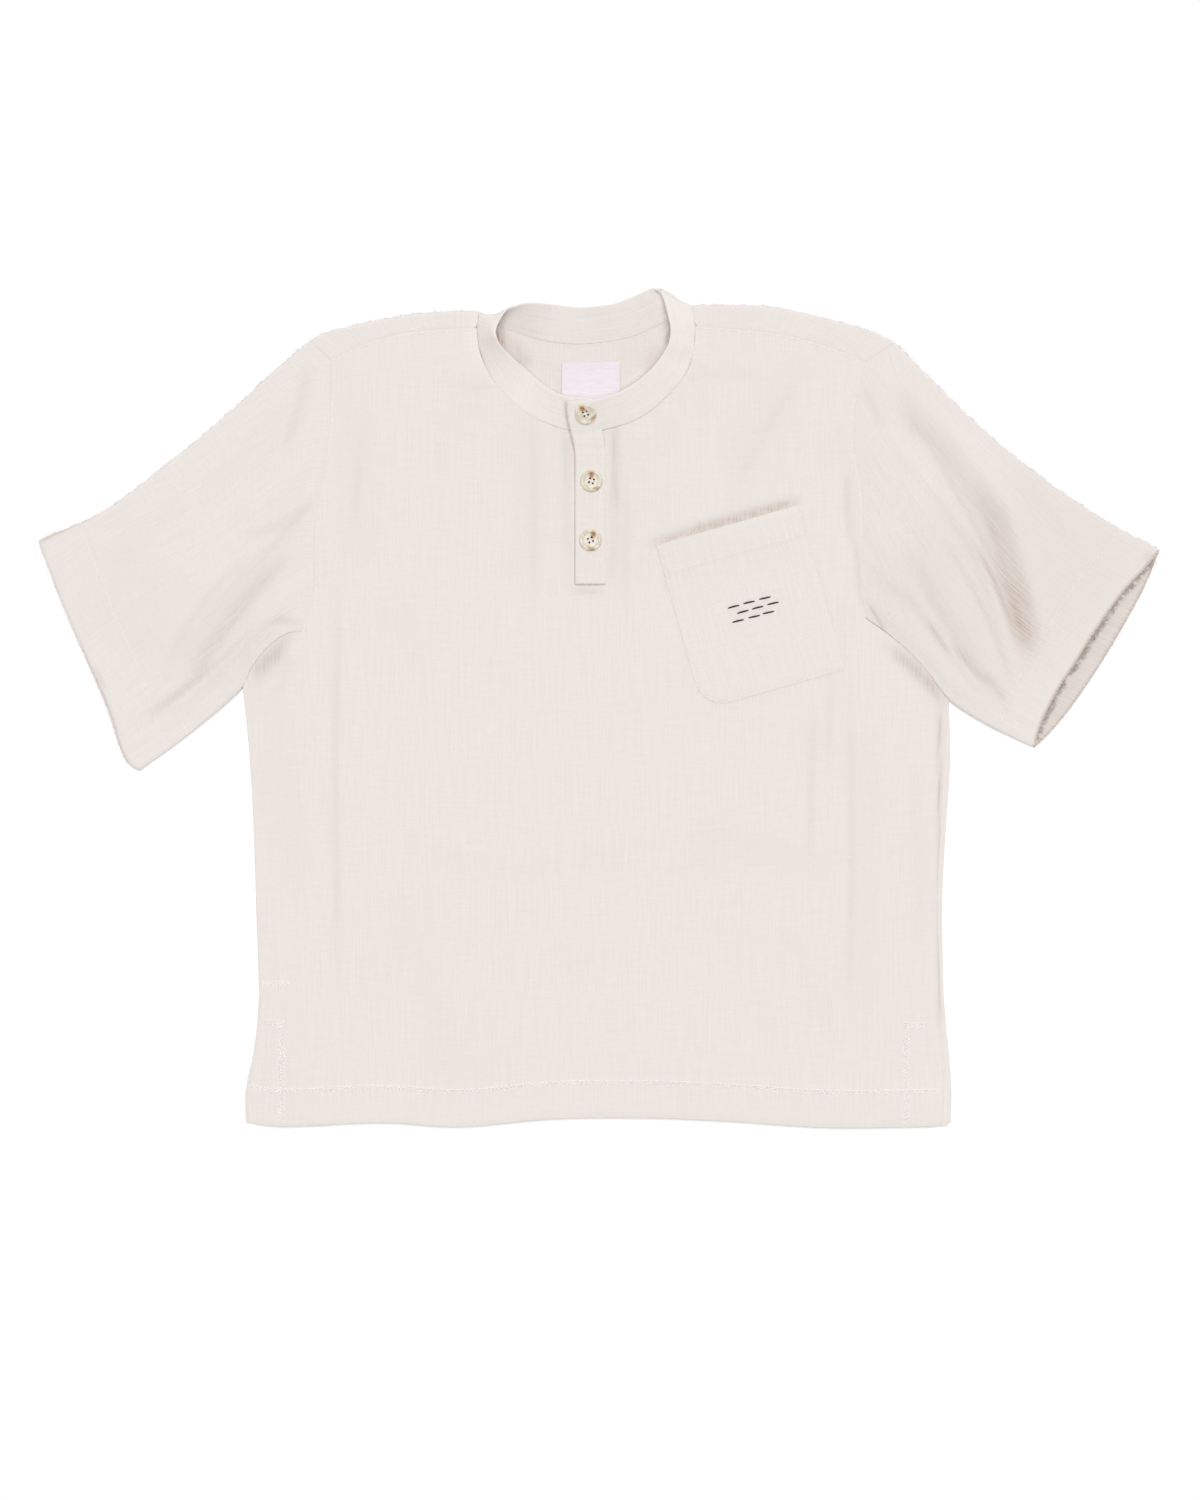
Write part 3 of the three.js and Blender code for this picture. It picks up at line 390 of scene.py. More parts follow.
# Stations round the stand collar, from its under end at the front, round the back, to its
# over end: the seam in plan, the height of its outer face, and the rim in plan.
COLLAR: Table = (
    (-3, 229.6, 4.6, -4, 254.5), (-27, 231, 4.8, -31, 258.5), (-47, 238, 5.4, -44.5, 266),
    (-69, 252, TOP, -59, 279.5), (-87, 272, TOP, -73, 291), (-97, 292, TOP, -83, 301),
    (-100.5, 315, TOP, -86, 310), (-98.5, 328.5, ROLL, -83, 320), (-90, 323, 0, -76, 330.5),
    (-79, 316.5, 0, -65, 334.5), (-60, 309.5, 0, -52, 335.5), (-40, 304, 0, -37, 334),
    (-15, 302, 0, -17, 332), (9, 304.5, 0, 1, 333), (30, 309, 0, 16, 335.5),
    (50, 318, 0, 33, 342.5), (66, 327, 0, 46, 348), (78.5, 333.5, ROLL, 52, 346),
    (80.5, 317, TOP, 59, 325), (80, 301, TOP, 61.5, 311), (75, 281, 5.8, 56, 294.5),
    (60, 261, 6.3, 42.5, 277.5), (34, 240, 6.9, 21.5, 262), (1, 229.5, 7.6, 0, 254.5),
    (-22, 226, 7.9, -25, 252),
)
LAST = len(COLLAR) - 1
# Where the band leans over and rises less, in groups: station, share of the rise, spread.
BAND_DIPS = (
    ((3.5, 0.35, 1.5), (20.4, 0.35, 1.6)), ((9.0, 0.5, 1.8), (16.0, 0.4, 1.2)),
    ((18.1, 0.45, 1.3),),
)
LEAST_RISE = 2.0  # mm, where the rim's plan distance uses up the band's height


class Neck(Enum):
    """Rows of the collar's table at which the body's neckline changes panel."""

    UNDER_END = 1
    SEAM_LEFT = 6
    BACK_LEFT = 8
    BACK_RIGHT = 16
    SEAM_RIGHT = 18
    OVER_END = 23


COLLAR_BASE = Line([row[:3] for row in COLLAR])
COLLAR_RIM = Line([row[3:] for row in COLLAR])


def collar_face(station: Array, up: Array) -> tuple[Array, Array]:
    """The collar band's outer face, straight from its seam to its rim.

    The band keeps its height, so it stands up by whatever its plan leaves over: the square
    root of the height squared less the plan distance squared.

    Args:
        station: Row numbers of the collar's table.
        up: 0 at the seam to 1 at the rim.

    Returns:
        The points, and how high the rim stands above the seam.
    """
    base = COLLAR_BASE.at_row(station)
    rim = COLLAR_RIM.at_row(station)
    apart = np.linalg.norm(rim - base[..., :2], axis=-1)
    rise = np.sqrt(np.maximum(BAND_HEIGHT**2 - apart**2, LEAST_RISE**2))
    for group in BAND_DIPS:
        rise = rise * (1 - sum(share * bell(station - at, far) for at, share, far in group))
    plan = lerp(base[..., :2], rim, up[..., None])
    return raised(plan, np.maximum(base[..., 2], 0.0) + rise * up), rise


def neckline(start: Neck, end: Neck, count: int) -> Array:
    """The body's edge along the collar's seam, in plan, between two rows."""
    station = np.linspace(start.value, end.value, count)
    seam, rise = collar_face(station, np.zeros(count))
    behind = start is Neck.BACK_LEFT
    clear = SEAM + (BAND_CLOTH * rise / BAND_HEIGHT if behind else 0.0)
    return aside(seam[:, :2], -clear)


class Cloth:
    """Quads of cloth in one or more grids that share border points, closed into a shell."""

    ROUND = (0.25, 0.5, 0.75)  # rings round an edge, between the outer and the inner face

    def __init__(self, name: str) -> None:
        """Starts an empty piece of cloth."""
        self.name = name
        self.points: list[Array] = []  # rows of x, y, z, wall, bulge and painted shade
        self.quads: list[Array] = []
        self.cuts: list[Array] = []
        self.count = 0

    def grid(
        self,
        points: Array,
        cut: Array,
        wall: Array | float = CLOTH,
        bulge: Array | float = 0.0,
        keep: Array | None = None,
        painted_shading: Array | float = 0.0,
    ) -> "Cloth":
        """Adds a grid. It faces out where columns run right and rows run up, from outside.

        Args:
            points: Rows by columns by 3, the outer face.
            cut: Rows by columns by 2, each point's place on the flat cloth.
            wall: The cloth's thickness at each point.
            bulge: How far a free edge rounds outwards at each point.
            keep: Which quads are cloth, where some are cut away.
            painted_shading: How dark the painted shade is at each point.

        Returns:
            The cloth, for a further grid.
        """
        rows, columns = points.shape[:2]
        index = self.count + np.arange(rows * columns).reshape(rows, columns)
        corners = (np.s_[:-1, :-1], np.s_[:-1, 1:], np.s_[1:, 1:], np.s_[1:, :-1])
        chosen = slice(None) if keep is None else keep.ravel()
        for kept, values in ((self.quads, index), (self.cuts, cut)):
            around = np.stack([values[corner] for corner in corners], axis=2)
            kept.append(around.reshape(-1, 4, *values.shape[2:])[chosen])
        self.points.append(stack(*np.moveaxis(points, -1, 0), wall, bulge, painted_shading).reshape(-1, 6))
        self.count += rows * columns
        return self

    @staticmethod
    def _sum_at(size: int, index: Array, values: Array) -> Array:
        """Adds up the values that go to each point."""
        total = np.zeros((size, values.shape[-1]))
        np.add.at(total, index, values)
        return total

    def shell(self) -> Object:
        """Closes the wall behind the outer face, with rounded free edges, as one mesh.

        The inner face is the outer one moved in along its normals. Round an edge, a ring at
        share q lies between the two by half of 1 less cos(pi q), and out by sin(pi q).

        Returns:
            The new object, its outer faces in material slot 0 and its inner ones in slot 1.
        """
        table = np.vstack(self.points)
        _, first, merged = np.unique(
            np.round(table[:, :3], 3), axis=0, return_index=True, return_inverse=True
        )
        outer, wall, bulge, shade_paint = np.split(table[first], (3, 4, 5), axis=1)
        quads = merged.ravel()[np.vstack(self.quads)]
        cuts = np.vstack(self.cuts)
        count = len(outer)

        a, b, c, d = (outer[quads[:, k]] for k in range(4))
        facing = np.repeat(np.cross(c - a, d - b), 4, axis=0)
        normals = unit(self._sum_at(count, quads.ravel(), facing))
        inner = outer - normals * wall

        # Borders are edges that only one quad has.
        start, end = quads.ravel(), np.roll(quads, -1, axis=1).ravel()
        cut_start, cut_end = cuts.reshape(-1, 2), np.roll(cuts, -1, axis=1).reshape(-1, 2)
        key = np.minimum(start, end) * count + np.maximum(start, end)
        _, back_to, times = np.unique(key, return_inverse=True, return_counts=True)
        border = times[back_to.ravel()] == 1
        start, end, cut_start, cut_end = (v[border] for v in (start, end, cut_start, cut_end))

        out = np.cross(outer[end] - outer[start], normals[start])
        outward = unit(self._sum_at(count, start, out) + self._sum_at(count, end, out))
        edge = np.unique(start)
        place_in_ring = np.zeros(count, int)
        place_in_ring[edge] = np.arange(len(edge))
        rings, offsets, total = [outer], [np.arange(count)], count
        for q in self.ROUND:
            share = (1 - math.cos(math.pi * q)) / 2
            swell = outward[edge] * bulge[edge] * math.sin(math.pi * q)
            rings.append(lerp(outer[edge], inner[edge], share) + swell)
            offsets.append(total + place_in_ring)
            total += len(edge)
        rings.append(inner)
        offsets.append(total + np.arange(count))

        faces = [quads, quads[:, ::-1] + total]
        corner_cuts = [cuts, cuts[:, ::-1]]
        slots = np.repeat([0, 1, 0], [len(quads), len(quads), len(start) * (len(rings) - 1)])
        for upper, lower in zip(offsets[:-1], offsets[1:]):
            faces.append(np.stack([upper[end], upper[start], lower[start], lower[end]], axis=1))
            corner_cuts.append(np.stack([cut_end, cut_start, cut_start, cut_end], axis=1))
        painted_shading = np.concatenate([shade_paint, *[shade_paint[edge]] * len(self.ROUND), shade_paint]).ravel()
        places, faces, corner_cuts = (np.vstack(part) for part in (rings, faces, corner_cuts))
        return make_mesh(self.name, places, faces, corner_cuts, slots, painted_shading)


def link(name: str, data: ID) -> Object:
    """Puts a new object into the scene, at its origin."""
    obj = bpy.data.objects.new(name, data)
    bpy.context.scene.collection.objects.link(obj)
    return obj


def make_mesh(
    name: str,
    places: Array,
    faces: Array,
    corner_cuts: Array | None = None,
    slots: Array | None = None,
    painted_shading: Array | None = None,
) -> Object:
    """Puts arrays into a new mesh object that sits at the origin.

    Args:
        name: The piece's name.
        places: Points in millimetres.
        faces: Quads, as rows of four point numbers.
        corner_cuts: Each corner's place on the flat piece, in millimetres.
        slots: Each face's material slot.
        painted_shading: How dark the painted shade is at each point.

    Returns:
        The object, smooth but for sharp edges.
    """
    mesh = bpy.data.meshes.new(name)
    mesh.vertices.add(len(places))
    mesh.vertices.foreach_set("co", (places * MM).astype(np.float32).ravel())
    mesh.loops.add(faces.size)
    mesh.loops.foreach_set("vertex_index", faces.astype(np.int32).ravel())
    mesh.polygons.add(len(faces))
    mesh.polygons.foreach_set("loop_start", np.arange(0, faces.size, 4, dtype=np.int32))
    if slots is not None:
        mesh.polygons.foreach_set("material_index", slots.astype(np.int32))
    if corner_cuts is not None:
        layer = mesh.uv_layers.new(name="Cut")
        layer.uv.foreach_set("vector", (corner_cuts * MM).astype(np.float32).ravel())
    if painted_shading is not None:
        layer = mesh.attributes.new("PaintedShade", "FLOAT", "POINT")
        layer.data.foreach_set("value", painted_shading.astype(np.float32))
    mesh.update(calc_edges=True)
    mesh.validate()
    mesh.shade_smooth()
    mesh.set_sharp_from_angle(angle=math.radians(SHARP))
    return link(name, mesh)


@dataclass(frozen=True)
class Tube:
    """Short lengths of thread or fibre, many in one mesh, each swept along its own line."""

    name: str
    sides: int = 5
    UPRIGHT = 0.9  # a line that rises by more of its length takes its sides from the X axis
    TIP = 0.05  # how wide a strand still is at its closed end

    def sweep(self, lines: Array, radii: Array) -> Object:
        """Carries a small circle along every line at once.

        Args:
            lines: Count by rings by 3, the points that each strand runs through.
            radii: Count by rings, the strand's radius at each.

        Returns:
            One mesh of closed strands.
        """
        ahead = unit(np.gradient(lines, axis=1))
        upright = np.abs(ahead[..., 2:]) > self.UPRIGHT
        side = unit(np.cross(ahead, np.where(upright, [1.0, 0.0, 0.0], [0.0, 0.0, 1.0])))
        up = np.cross(ahead, side)
        angle = 2 * np.pi * np.arange(self.sides)[:, None] / self.sides
        ring = side[:, :, None] * np.cos(angle) + up[:, :, None] * np.sin(angle)
        places = lines[:, :, None] + ring * radii[:, :, None, None]
        # Each end closes on a ring of its tip, half a radius further on.
        beyond = ahead[:, [0, -1]] * radii[:, [0, -1], None] * [[-0.5], [0.5]]
        tips = (lines[:, [0, -1]] + beyond)[:, :, None]
        closing = lerp(tips, places[:, [0, -1]], self.TIP)
        places = np.concatenate([closing[:, :1], places, closing[:, 1:]], axis=1)
        index = np.arange(places.size // 3).reshape(places.shape[:-1])
        turned = np.roll(index, -1, axis=2)
        quads = np.stack([index[:, :-1], turned[:, :-1], turned[:, 1:], index[:, 1:]], axis=-1)
        caps = np.vstack([index[:, 0, ::-1], index[:, -1]])
        mesh = bpy.data.meshes.new(self.name)
        faces = quads.reshape(-1, 4).tolist() + caps.tolist()
        mesh.from_pydata((places.reshape(-1, 3) * MM).tolist(), [], faces)
        mesh.shade_smooth()
        return link(self.name, mesh)


@dataclass(frozen=True)
class Stitching:
    """A row of machine or hand stitches along a line on the cloth."""

    length: float = 2.8  # of one stitch
    pitch: float = 3.0  # from one stitch to the next
    radius: float = 0.4
    proud: float = 0.28  # how far the thread's middle lies above the cloth
    RINGS = 5

    def strands(self, path: Array) -> tuple[Array, Array]:
        """Cuts a path into stitches that arch a little between their holes.

        Args:
            path: The line on the cloth's face, one point a row.

        Returns:
            Lines and radii for a tube: each stitch rises and falls as sin(pi q).
        """
        lengths = run(path)
        count = max(1, int(lengths[-1] / self.pitch))
        start = (np.arange(count) + 0.5) * lengths[-1] / count - self.length / 2
        q = np.linspace(0, 1, self.RINGS)
        share = start[:, None] + q * self.length
        lines = np.stack([np.interp(share, lengths, c) for c in path.T], axis=-1)
        arch = np.sin(np.pi * q)
        lines[..., 2] += self.proud * (2 * arch - 1)
        return lines, np.broadcast_to(self.radius * (0.55 + 0.45 * arch), share.shape)


FLAT_SEAM = Stitching()
NARROW_SEAM = Stitching(2.0, 2.7, 0.2)
EDGE_SEAM = Stitching(1.9, 2.6, 0.19)
LABEL_SEAM = Stitching(1.6, 2.2, 0.15)
CLOSE_ROWS = Stitching(2.95, 3.0, 0.58, 0.36)


# Finishes


def linear(colour: str) -> tuple[float, float, float, float]:
    """Turns an sRGB hex colour to linear light, with full cover."""
    parts = [int(colour[k : k + 2], 16) / 255 for k in (1, 3, 5)]
    light = [c / 12.92 if c <= 0.04045 else ((c + 0.055) / 1.055) ** 2.4 for c in parts]
    return (*light, 1.0)


def node(
    tree: NodeTree,
    kind: str,
    settings: dict[str, object] | None = None,
    inputs: dict[str | int, object] | None = None,
    stops: tuple[tuple[float, str], ...] = (),
) -> Node:
    """Adds a node with its settings, values and links.

    Args:
        tree: The material's node tree.
        kind: The node's type, without its ShaderNode prefix.
        settings: The node's own properties.
        inputs: Socket names or numbers, each with a value or an output to link from.
        stops: A colour ramp's positions, in order, with their hex colours.

    Returns:
        The node.
    """
    made = tree.nodes.new("ShaderNode" + kind)
    for key, value in (settings or {}).items():
        setattr(made, key, value)
    for key, value in (inputs or {}).items():
        if isinstance(value, NodeSocket):
            tree.links.new(value, made.inputs[key])
        else:
            made.inputs[key].default_value = value
    for number, (place, colour) in enumerate(stops):
        elements = made.color_ramp.elements
        element = elements[number] if number < 2 else elements.new(place)
        element.position = place
        element.color = linear(colour)
    return made


@dataclass(frozen=True)
class Finish:
    """A procedural material, which each kind of finish describes by its shader's inputs."""

    name: str

    def inputs(self, tree: NodeTree) -> dict[str, object]:
        """What goes into the shader: values, and outputs of nodes that it adds."""
        raise NotImplementedError

    def material(self) -> Material:
        """Builds the material round one shader."""
        made = bpy.data.materials.new(self.name)
        made.use_nodes = True
        tree = made.node_tree
        tree.nodes.clear()
        shader = node(tree, "BsdfPrincipled", inputs=self.inputs(tree))
        node(tree, "OutputMaterial", inputs={"Surface": shader.outputs[0]})
        return made


@dataclass(frozen=True)
class DoubleGauze(Finish):
    """Unbleached cotton double gauze: two open plain weaves tacked together and washed.

    Washing shrinks the two layers unevenly, which gives the eye fine crinkles along the
    warp and an uneven, slubbed, quite matt face. Patterns lie on the flat cut, so the warp
    follows each piece. The threads are about 0.6 mm apart; that is below a pixel of the
    render, so the weave is drawn at a little over twice its real spacing.
    """

    name: str = "cotton_double_gauze"
    fold: str = "#e4dedb"  # painted shade: the warm tone multiplied in along a trough
    deep_shade_paint: str = "#c9b5a5"  # painted shade, darker and browner, multiplied in at a deep opening
    shade: str = "#e6ddd6"
    base: str = "#ebe4de"
    light: str = "#f0eae5"
    thread: float = 1.5  # mm between drawn threads
    slub: float = 1.3  # mm across a thick thread's streak
    streak: float = 48.0  # mm along it
    crinkle: float = 2.6  # mm between fine crinkles
    depth: float = 0.5  # mm of crinkle that the bump shows

    def inputs(self, tree: NodeTree) -> dict[str, object]:
        """Colour from streaks along warp and weft, height from crinkles and the weave.

        Each pattern is soft noise on the flat cut, stretched to so many millimetres across
        the warp and along it; the weave is a sine across times a sine along. The colour is
        multiplied by a painted shade, darkest in troughs and openings.
        """
        cut = node(tree, "UVMap", {"uv_map": "Cut"}).outputs["UV"]
        patterns = []
        for across, along, detail in (
            (self.slub, self.streak, 2.0),
            (self.streak * 0.5, self.slub * 0.8, 1.0),
            (70.0, 90.0, 2.0),
            (0.9, 1.1, 2.0),
            (self.crinkle, self.crinkle * 22, 3.0),
            (self.crinkle * 9, self.crinkle * 1.6, 1.0),
        ):
            scale = (1 / (across * MM), 1 / (along * MM), 1.0)
            at = node(tree, "Mapping", inputs={"Vector": cut, "Scale": scale}).outputs[0]
            values = {"Vector": at, "Scale": 1.0, "Detail": detail, "Roughness": 0.55}
            noise = node(tree, "TexNoise", {"noise_dimensions": "2D"}, values)
            patterns.append(noise.outputs[0])
        warp, weft, cloud, fuzz, ripple, cross = patterns

        turns = (2 * math.pi / (self.thread * MM),) * 3
        threads = node(tree, "Mapping", inputs={"Vector": cut, "Scale": turns})
        split = node(tree, "SeparateXYZ", inputs={0: threads.outputs[0]})
        waves = [
            node(tree, "Math", {"operation": "SINE"}, {0: split.outputs[k]}).outputs[0]
            for k in ("X", "Y")
        ]
        weave = node(tree, "Math", {"operation": "MULTIPLY"}, {0: waves[0], 1: waves[1]})

        sums = []
        for start, terms in (
            (0.0, ((warp, 0.52), (weft, 0.30), (cloud, 0.18))),
            (0.0, ((ripple, 1.0), (cross, 0.6), (weave.outputs[0], 0.045), (fuzz, 0.26))),
            (-0.15, ((warp, 2.3),)),
        ):
            total = start
            for source, weight in terms:
                values = {0: source, 1: weight, 2: total}
                total = node(tree, "Math", {"operation": "MULTIPLY_ADD"}, values).outputs[0]
            sums.append(total)
        mottle, height, unevenly = sums

        # Painted shade: a ramp from white through the fold's tone to the deep opening's, read from the
        # painted shade attribute, made uneven along the warp and multiplied into the colour.
        shade_paint = node(tree, "Attribute", {"attribute_name": "PaintedShade"}).outputs["Fac"]
        shade_paint = node(tree, "Math", {"operation": "MULTIPLY"}, {0: shade_paint, 1: unevenly})
        tones = ((0.12, self.shade), (0.50, self.base), (0.88, self.light))
        colour = node(tree, "ValToRGB", inputs={"Fac": mottle}, stops=tones)
        tones = ((0.0, "#ffffff"), (0.5, self.fold), (1.0, self.deep_shade_paint))
        tint = node(tree, "ValToRGB", inputs={"Fac": shade_paint.outputs[0]}, stops=tones)
        dimmed = node(
            tree,
            "Mix",
            {"data_type": "RGBA", "blend_type": "MULTIPLY"},
            {"Factor": 1.0, 6: colour.outputs["Color"], 7: tint.outputs["Color"]},
        )
        values = {"Height": height, "Strength": 1.0, "Distance": self.depth * MM}
        return {
            "Base Color": dimmed.outputs[2],
            "Normal": node(tree, "Bump", inputs=values).outputs["Normal"],
            "Roughness": 0.92,
            "IOR": 1.46,
            "Specular IOR Level": 0.25,
            "Sheen Weight": 0.18,
            "Sheen Roughness": 0.6,
        }


@dataclass(frozen=True)
class Thread(Finish):
    """Spun sewing thread: smooth, close-twisted and a touch glossier than the cloth."""

    colour: str
    shade: str
    twist: float = 0.5  # mm along a thread for one turn of its ply

    def inputs(self, tree: NodeTree) -> dict[str, object]:
        """Two close tones in a fine noise, with a bump of the ply's own size."""
        at = node(tree, "TexCoord").outputs["Object"]
        values = {"Vector": at, "Scale": 1 / (self.twist * MM), "Detail": 1.0}
        ply = node(tree, "TexNoise", inputs=values).outputs[0]
        tones = ((0.35, self.shade), (0.65, self.colour))
        values = {"Height": ply, "Strength": 0.5, "Distance": 0.1 * MM}
        return {
            "Base Color": node(tree, "ValToRGB", inputs={"Fac": ply}, stops=tones).outputs[0],
            "Normal": node(tree, "Bump", inputs=values).outputs["Normal"],
            "Roughness": 0.6,
            "Sheen Weight": 0.1,
        }


@dataclass(frozen=True)
class SatinTape(Finish):
    """Woven polyester label tape: a close satin face with a soft, cool gloss."""

    name: str = "woven_label_tape"
    base: str = "#f0e8ee"
    shade: str = "#e9dfe8"
    rib: float = 0.9  # mm between drawn weft ribs, about three times the real spacing

    def inputs(self, tree: NodeTree) -> dict[str, object]:
        """Fine ribs across the tape, in height, and short streaks along it, in colour."""
        cut = node(tree, "UVMap", {"uv_map": "Cut"}).outputs["UV"]
        values = {"Vector": cut, "Scale": 1 / (self.rib * MM) / 20, "Distortion": 1.5}
        ribs = node(tree, "TexWave", {"wave_type": "BANDS", "bands_direction": "Y"}, values)
        scale = (1 / (9 * MM), 1 / (1.1 * MM), 1.0)
        at = node(tree, "Mapping", inputs={"Vector": cut, "Scale": scale}).outputs[0]
        values = {"Vector": at, "Scale": 1.0, "Detail": 2.0}
        streaks = node(tree, "TexNoise", inputs=values).outputs[0]
        tones = ((0.3, self.shade), (0.7, self.base))
        values = {"Height": ribs.outputs["Fac"], "Strength": 0.35, "Distance": 0.15 * MM}
        colour = node(tree, "ValToRGB", inputs={"Fac": streaks}, stops=tones)
        return {
            "Base Color": colour.outputs[0],
            "Normal": node(tree, "Bump", inputs=values).outputs["Normal"],
            "Roughness": 0.55,
            "Sheen Weight": 0.2,
        }


@dataclass(frozen=True)
class Horn(Finish):
    """Cast polyester horn: cloudy cream with amber and brown flecks, turned and tumbled.

    It gives the eye a soft gloss with a little depth. The flecks are placed on each
    button's own face, in millimetres from its middle.
    """

    name: str = "mottled_horn_resin"
    base: str = "#e2dac9"
    cloud: str = "#d3cab8"
    pale: str = "#ebe5d9"
    amber: str = "#b97f3a"
    brown: str = "#8c6038"

    def inputs(self, tree: NodeTree) -> dict[str, object]:
        """Clouds of cream under ragged flecks of amber and brown.

        A fleck covers where the distance from its middle, in shares of its half width and
        half height, plus a noise, is small.
        """
        face = node(tree, "UVMap", {"uv_map": "Face"}).outputs["UV"]
        at = node(tree, "TexCoord").outputs["Object"]
        noises = []
        for size, detail, swirl in ((5.0, 3.0, 1.2), (2.2, 2.0, 0.0)):
            values = {"Vector": at, "Scale": 1 / (size * MM), "Detail": detail}
            noise = node(tree, "TexNoise", inputs={**values, "Distortion": swirl})
            noises.append(noise.outputs[0])
        clouds, ragged = noises
        tones = ((0.34, self.cloud), (0.5, self.base), (0.66, self.pale))
        colour = node(tree, "ValToRGB", inputs={"Fac": clouds}, stops=tones).outputs[0]
        for x, y, wide, tall, tint, cover in (
            (0.2, 4.9, 2.9, 3.8, self.amber, 0.8),
            (0.6, 5.2, 1.6, 2.2, self.brown, 0.7),
            (5.0, -6.4, 3.6, 1.9, self.brown, 0.6),
            (-6.6, 3.2, 1.4, 3.6, self.cloud, 0.8),
            (1.9, -6.9, 2.6, 1.6, self.amber, 0.5),
        ):
            values = {
                "Vector": face,
                "Location": (x * MM, y * MM, 0.0),
                "Scale": (wide * MM, tall * MM, 1.0),
            }
            place = node(tree, "Mapping", {"vector_type": "TEXTURE"}, values).outputs[0]
            length = node(tree, "VectorMath", {"operation": "LENGTH"}, {0: place})
            values = {0: ragged, 1: 1.5, 2: length.outputs["Value"]}
            worn = node(tree, "Math", {"operation": "MULTIPLY_ADD"}, values).outputs[0]
            values = {"Value": worn, "From Min": 2.0, "From Max": 1.1, "To Max": cover}
            inside = node(tree, "MapRange", {"interpolation_type": "SMOOTHSTEP"}, values)
            values = {"Factor": inside.outputs[0], 6: colour, 7: linear(tint)}
            colour = node(tree, "Mix", {"data_type": "RGBA"}, values).outputs[2]
        return {
            "Base Color": colour,
            "Roughness": 0.42,
            "IOR": 1.55,
            "Specular IOR Level": 0.35,
            "Subsurface Weight": 0.08,
            "Subsurface Radius": (1.0, 0.9, 0.8),
            "Subsurface Scale": 1.0 * MM,
        }


@dataclass(frozen=True)
class Paper(Finish):
    """Matt white studio paper, a little uneven in tone so that it isn't one flat colour."""

    name: str = "studio_paper"
    base: str = "#ffffff"
    shade: str = "#fdfdfe"

    def inputs(self, tree: NodeTree) -> dict[str, object]:
        """A very faint, broad mottle."""
        at = node(tree, "TexCoord").outputs["Object"]
        values = {"Vector": at, "Scale": 2.0, "Detail": 2.0}
        mottle = node(tree, "TexNoise", inputs=values).outputs[0]
        tones = ((0.3, self.shade), (0.7, self.base))
        colour = node(tree, "ValToRGB", inputs={"Fac": mottle}, stops=tones)
        return {"Base Color": colour.outputs[0], "Roughness": 0.95}


class Slot(Enum):
    """The record's material slots."""

    GAUZE = "gauze"
    TAPE = "label_tape"
    HORN = "button_horn"


GAUZE = DoubleGauze()
INSIDE = DoubleGauze("cotton_double_gauze_inside", shade="#e6ddd7", base="#ebe4df", light="#f0eae6")
SEWING = Thread("cotton_sewing_thread", "#f8f5f6", "#ede7e6")
# Painted light: the same gauze in lighter tones, so that the collar's steep band looks as bright as
# the flat body.
PAINTED_LIGHT_BAND = DoubleGauze("cotton_double_gauze_band_painted_light", shade="#ebe2db", base="#f0e9e3", light="#f5efea")
HEMMING = Thread("cotton_hemming_thread", "#fbf6f4", "#f3eeec")
INK = Thread("black_stranded_cotton", "#2a2727", "#161415")
# Painted shade: the cotton fibre in darker tones, for the fibres in the right cuff's mouth.
SHADED = Thread("cotton_fibre_in_shade", "#dacdc3", "#b3a294")


@dataclass
class Wardrobe:
    """Every finish of the shirt, made once."""

    gauze: Material = field(default_factory=GAUZE.material)
    inside: Material = field(default_factory=INSIDE.material)
    band: Material = field(default_factory=PAINTED_LIGHT_BAND.material)
    thread: Material = field(default_factory=SEWING.material)
    hem_thread: Material = field(default_factory=HEMMING.material)
    ink_thread_and_hole_shade: Material = field(default_factory=INK.material)
    shaded_thread: Material = field(default_factory=SHADED.material)
    tape: Material = field(default_factory=SatinTape().material)
    horn: Material = field(default_factory=Horn().material)
    paper: Material = field(default_factory=Paper().material)


def finish(
    obj: Object,
    slot: Slot,
    materials: list[Material],
    replaces: str | None = None,
) -> Object:
    """Dresses a piece and ties it to the frame.

    Args:
        obj: The piece.
        slot: Not used.
        materials: The outer face's finish, then the inner face's where there is one.
        replaces: The CAD node that it stands for.

    Returns:
        The piece.
    """
    for material in materials:
        obj.data.materials.append(material)
    if replaces:
        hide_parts(replaces)
    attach(obj, BODY)
    log.info("%s: %d faces", obj.name, len(obj.data.polygons))
    return obj


def sew(
    name: str,
    stitch: Stitching,
    paths: list[Array],
    thread: Material,
    slot: Slot = Slot.GAUZE,
) -> Object:
    """Makes one finished piece of the stitches along several paths.

    Args:
        name: The piece's name.
        stitch: The kind of stitch.
        paths: Lines on the cloth's face.
        thread: The thread's finish.
        slot: The record's material slot.

    Returns:
        The piece.
    """
    lines, radii = (np.vstack(part) for part in zip(*map(stitch.strands, paths)))
    return finish(Tube(name).sweep(lines, radii), slot, [thread])


# Sleeves


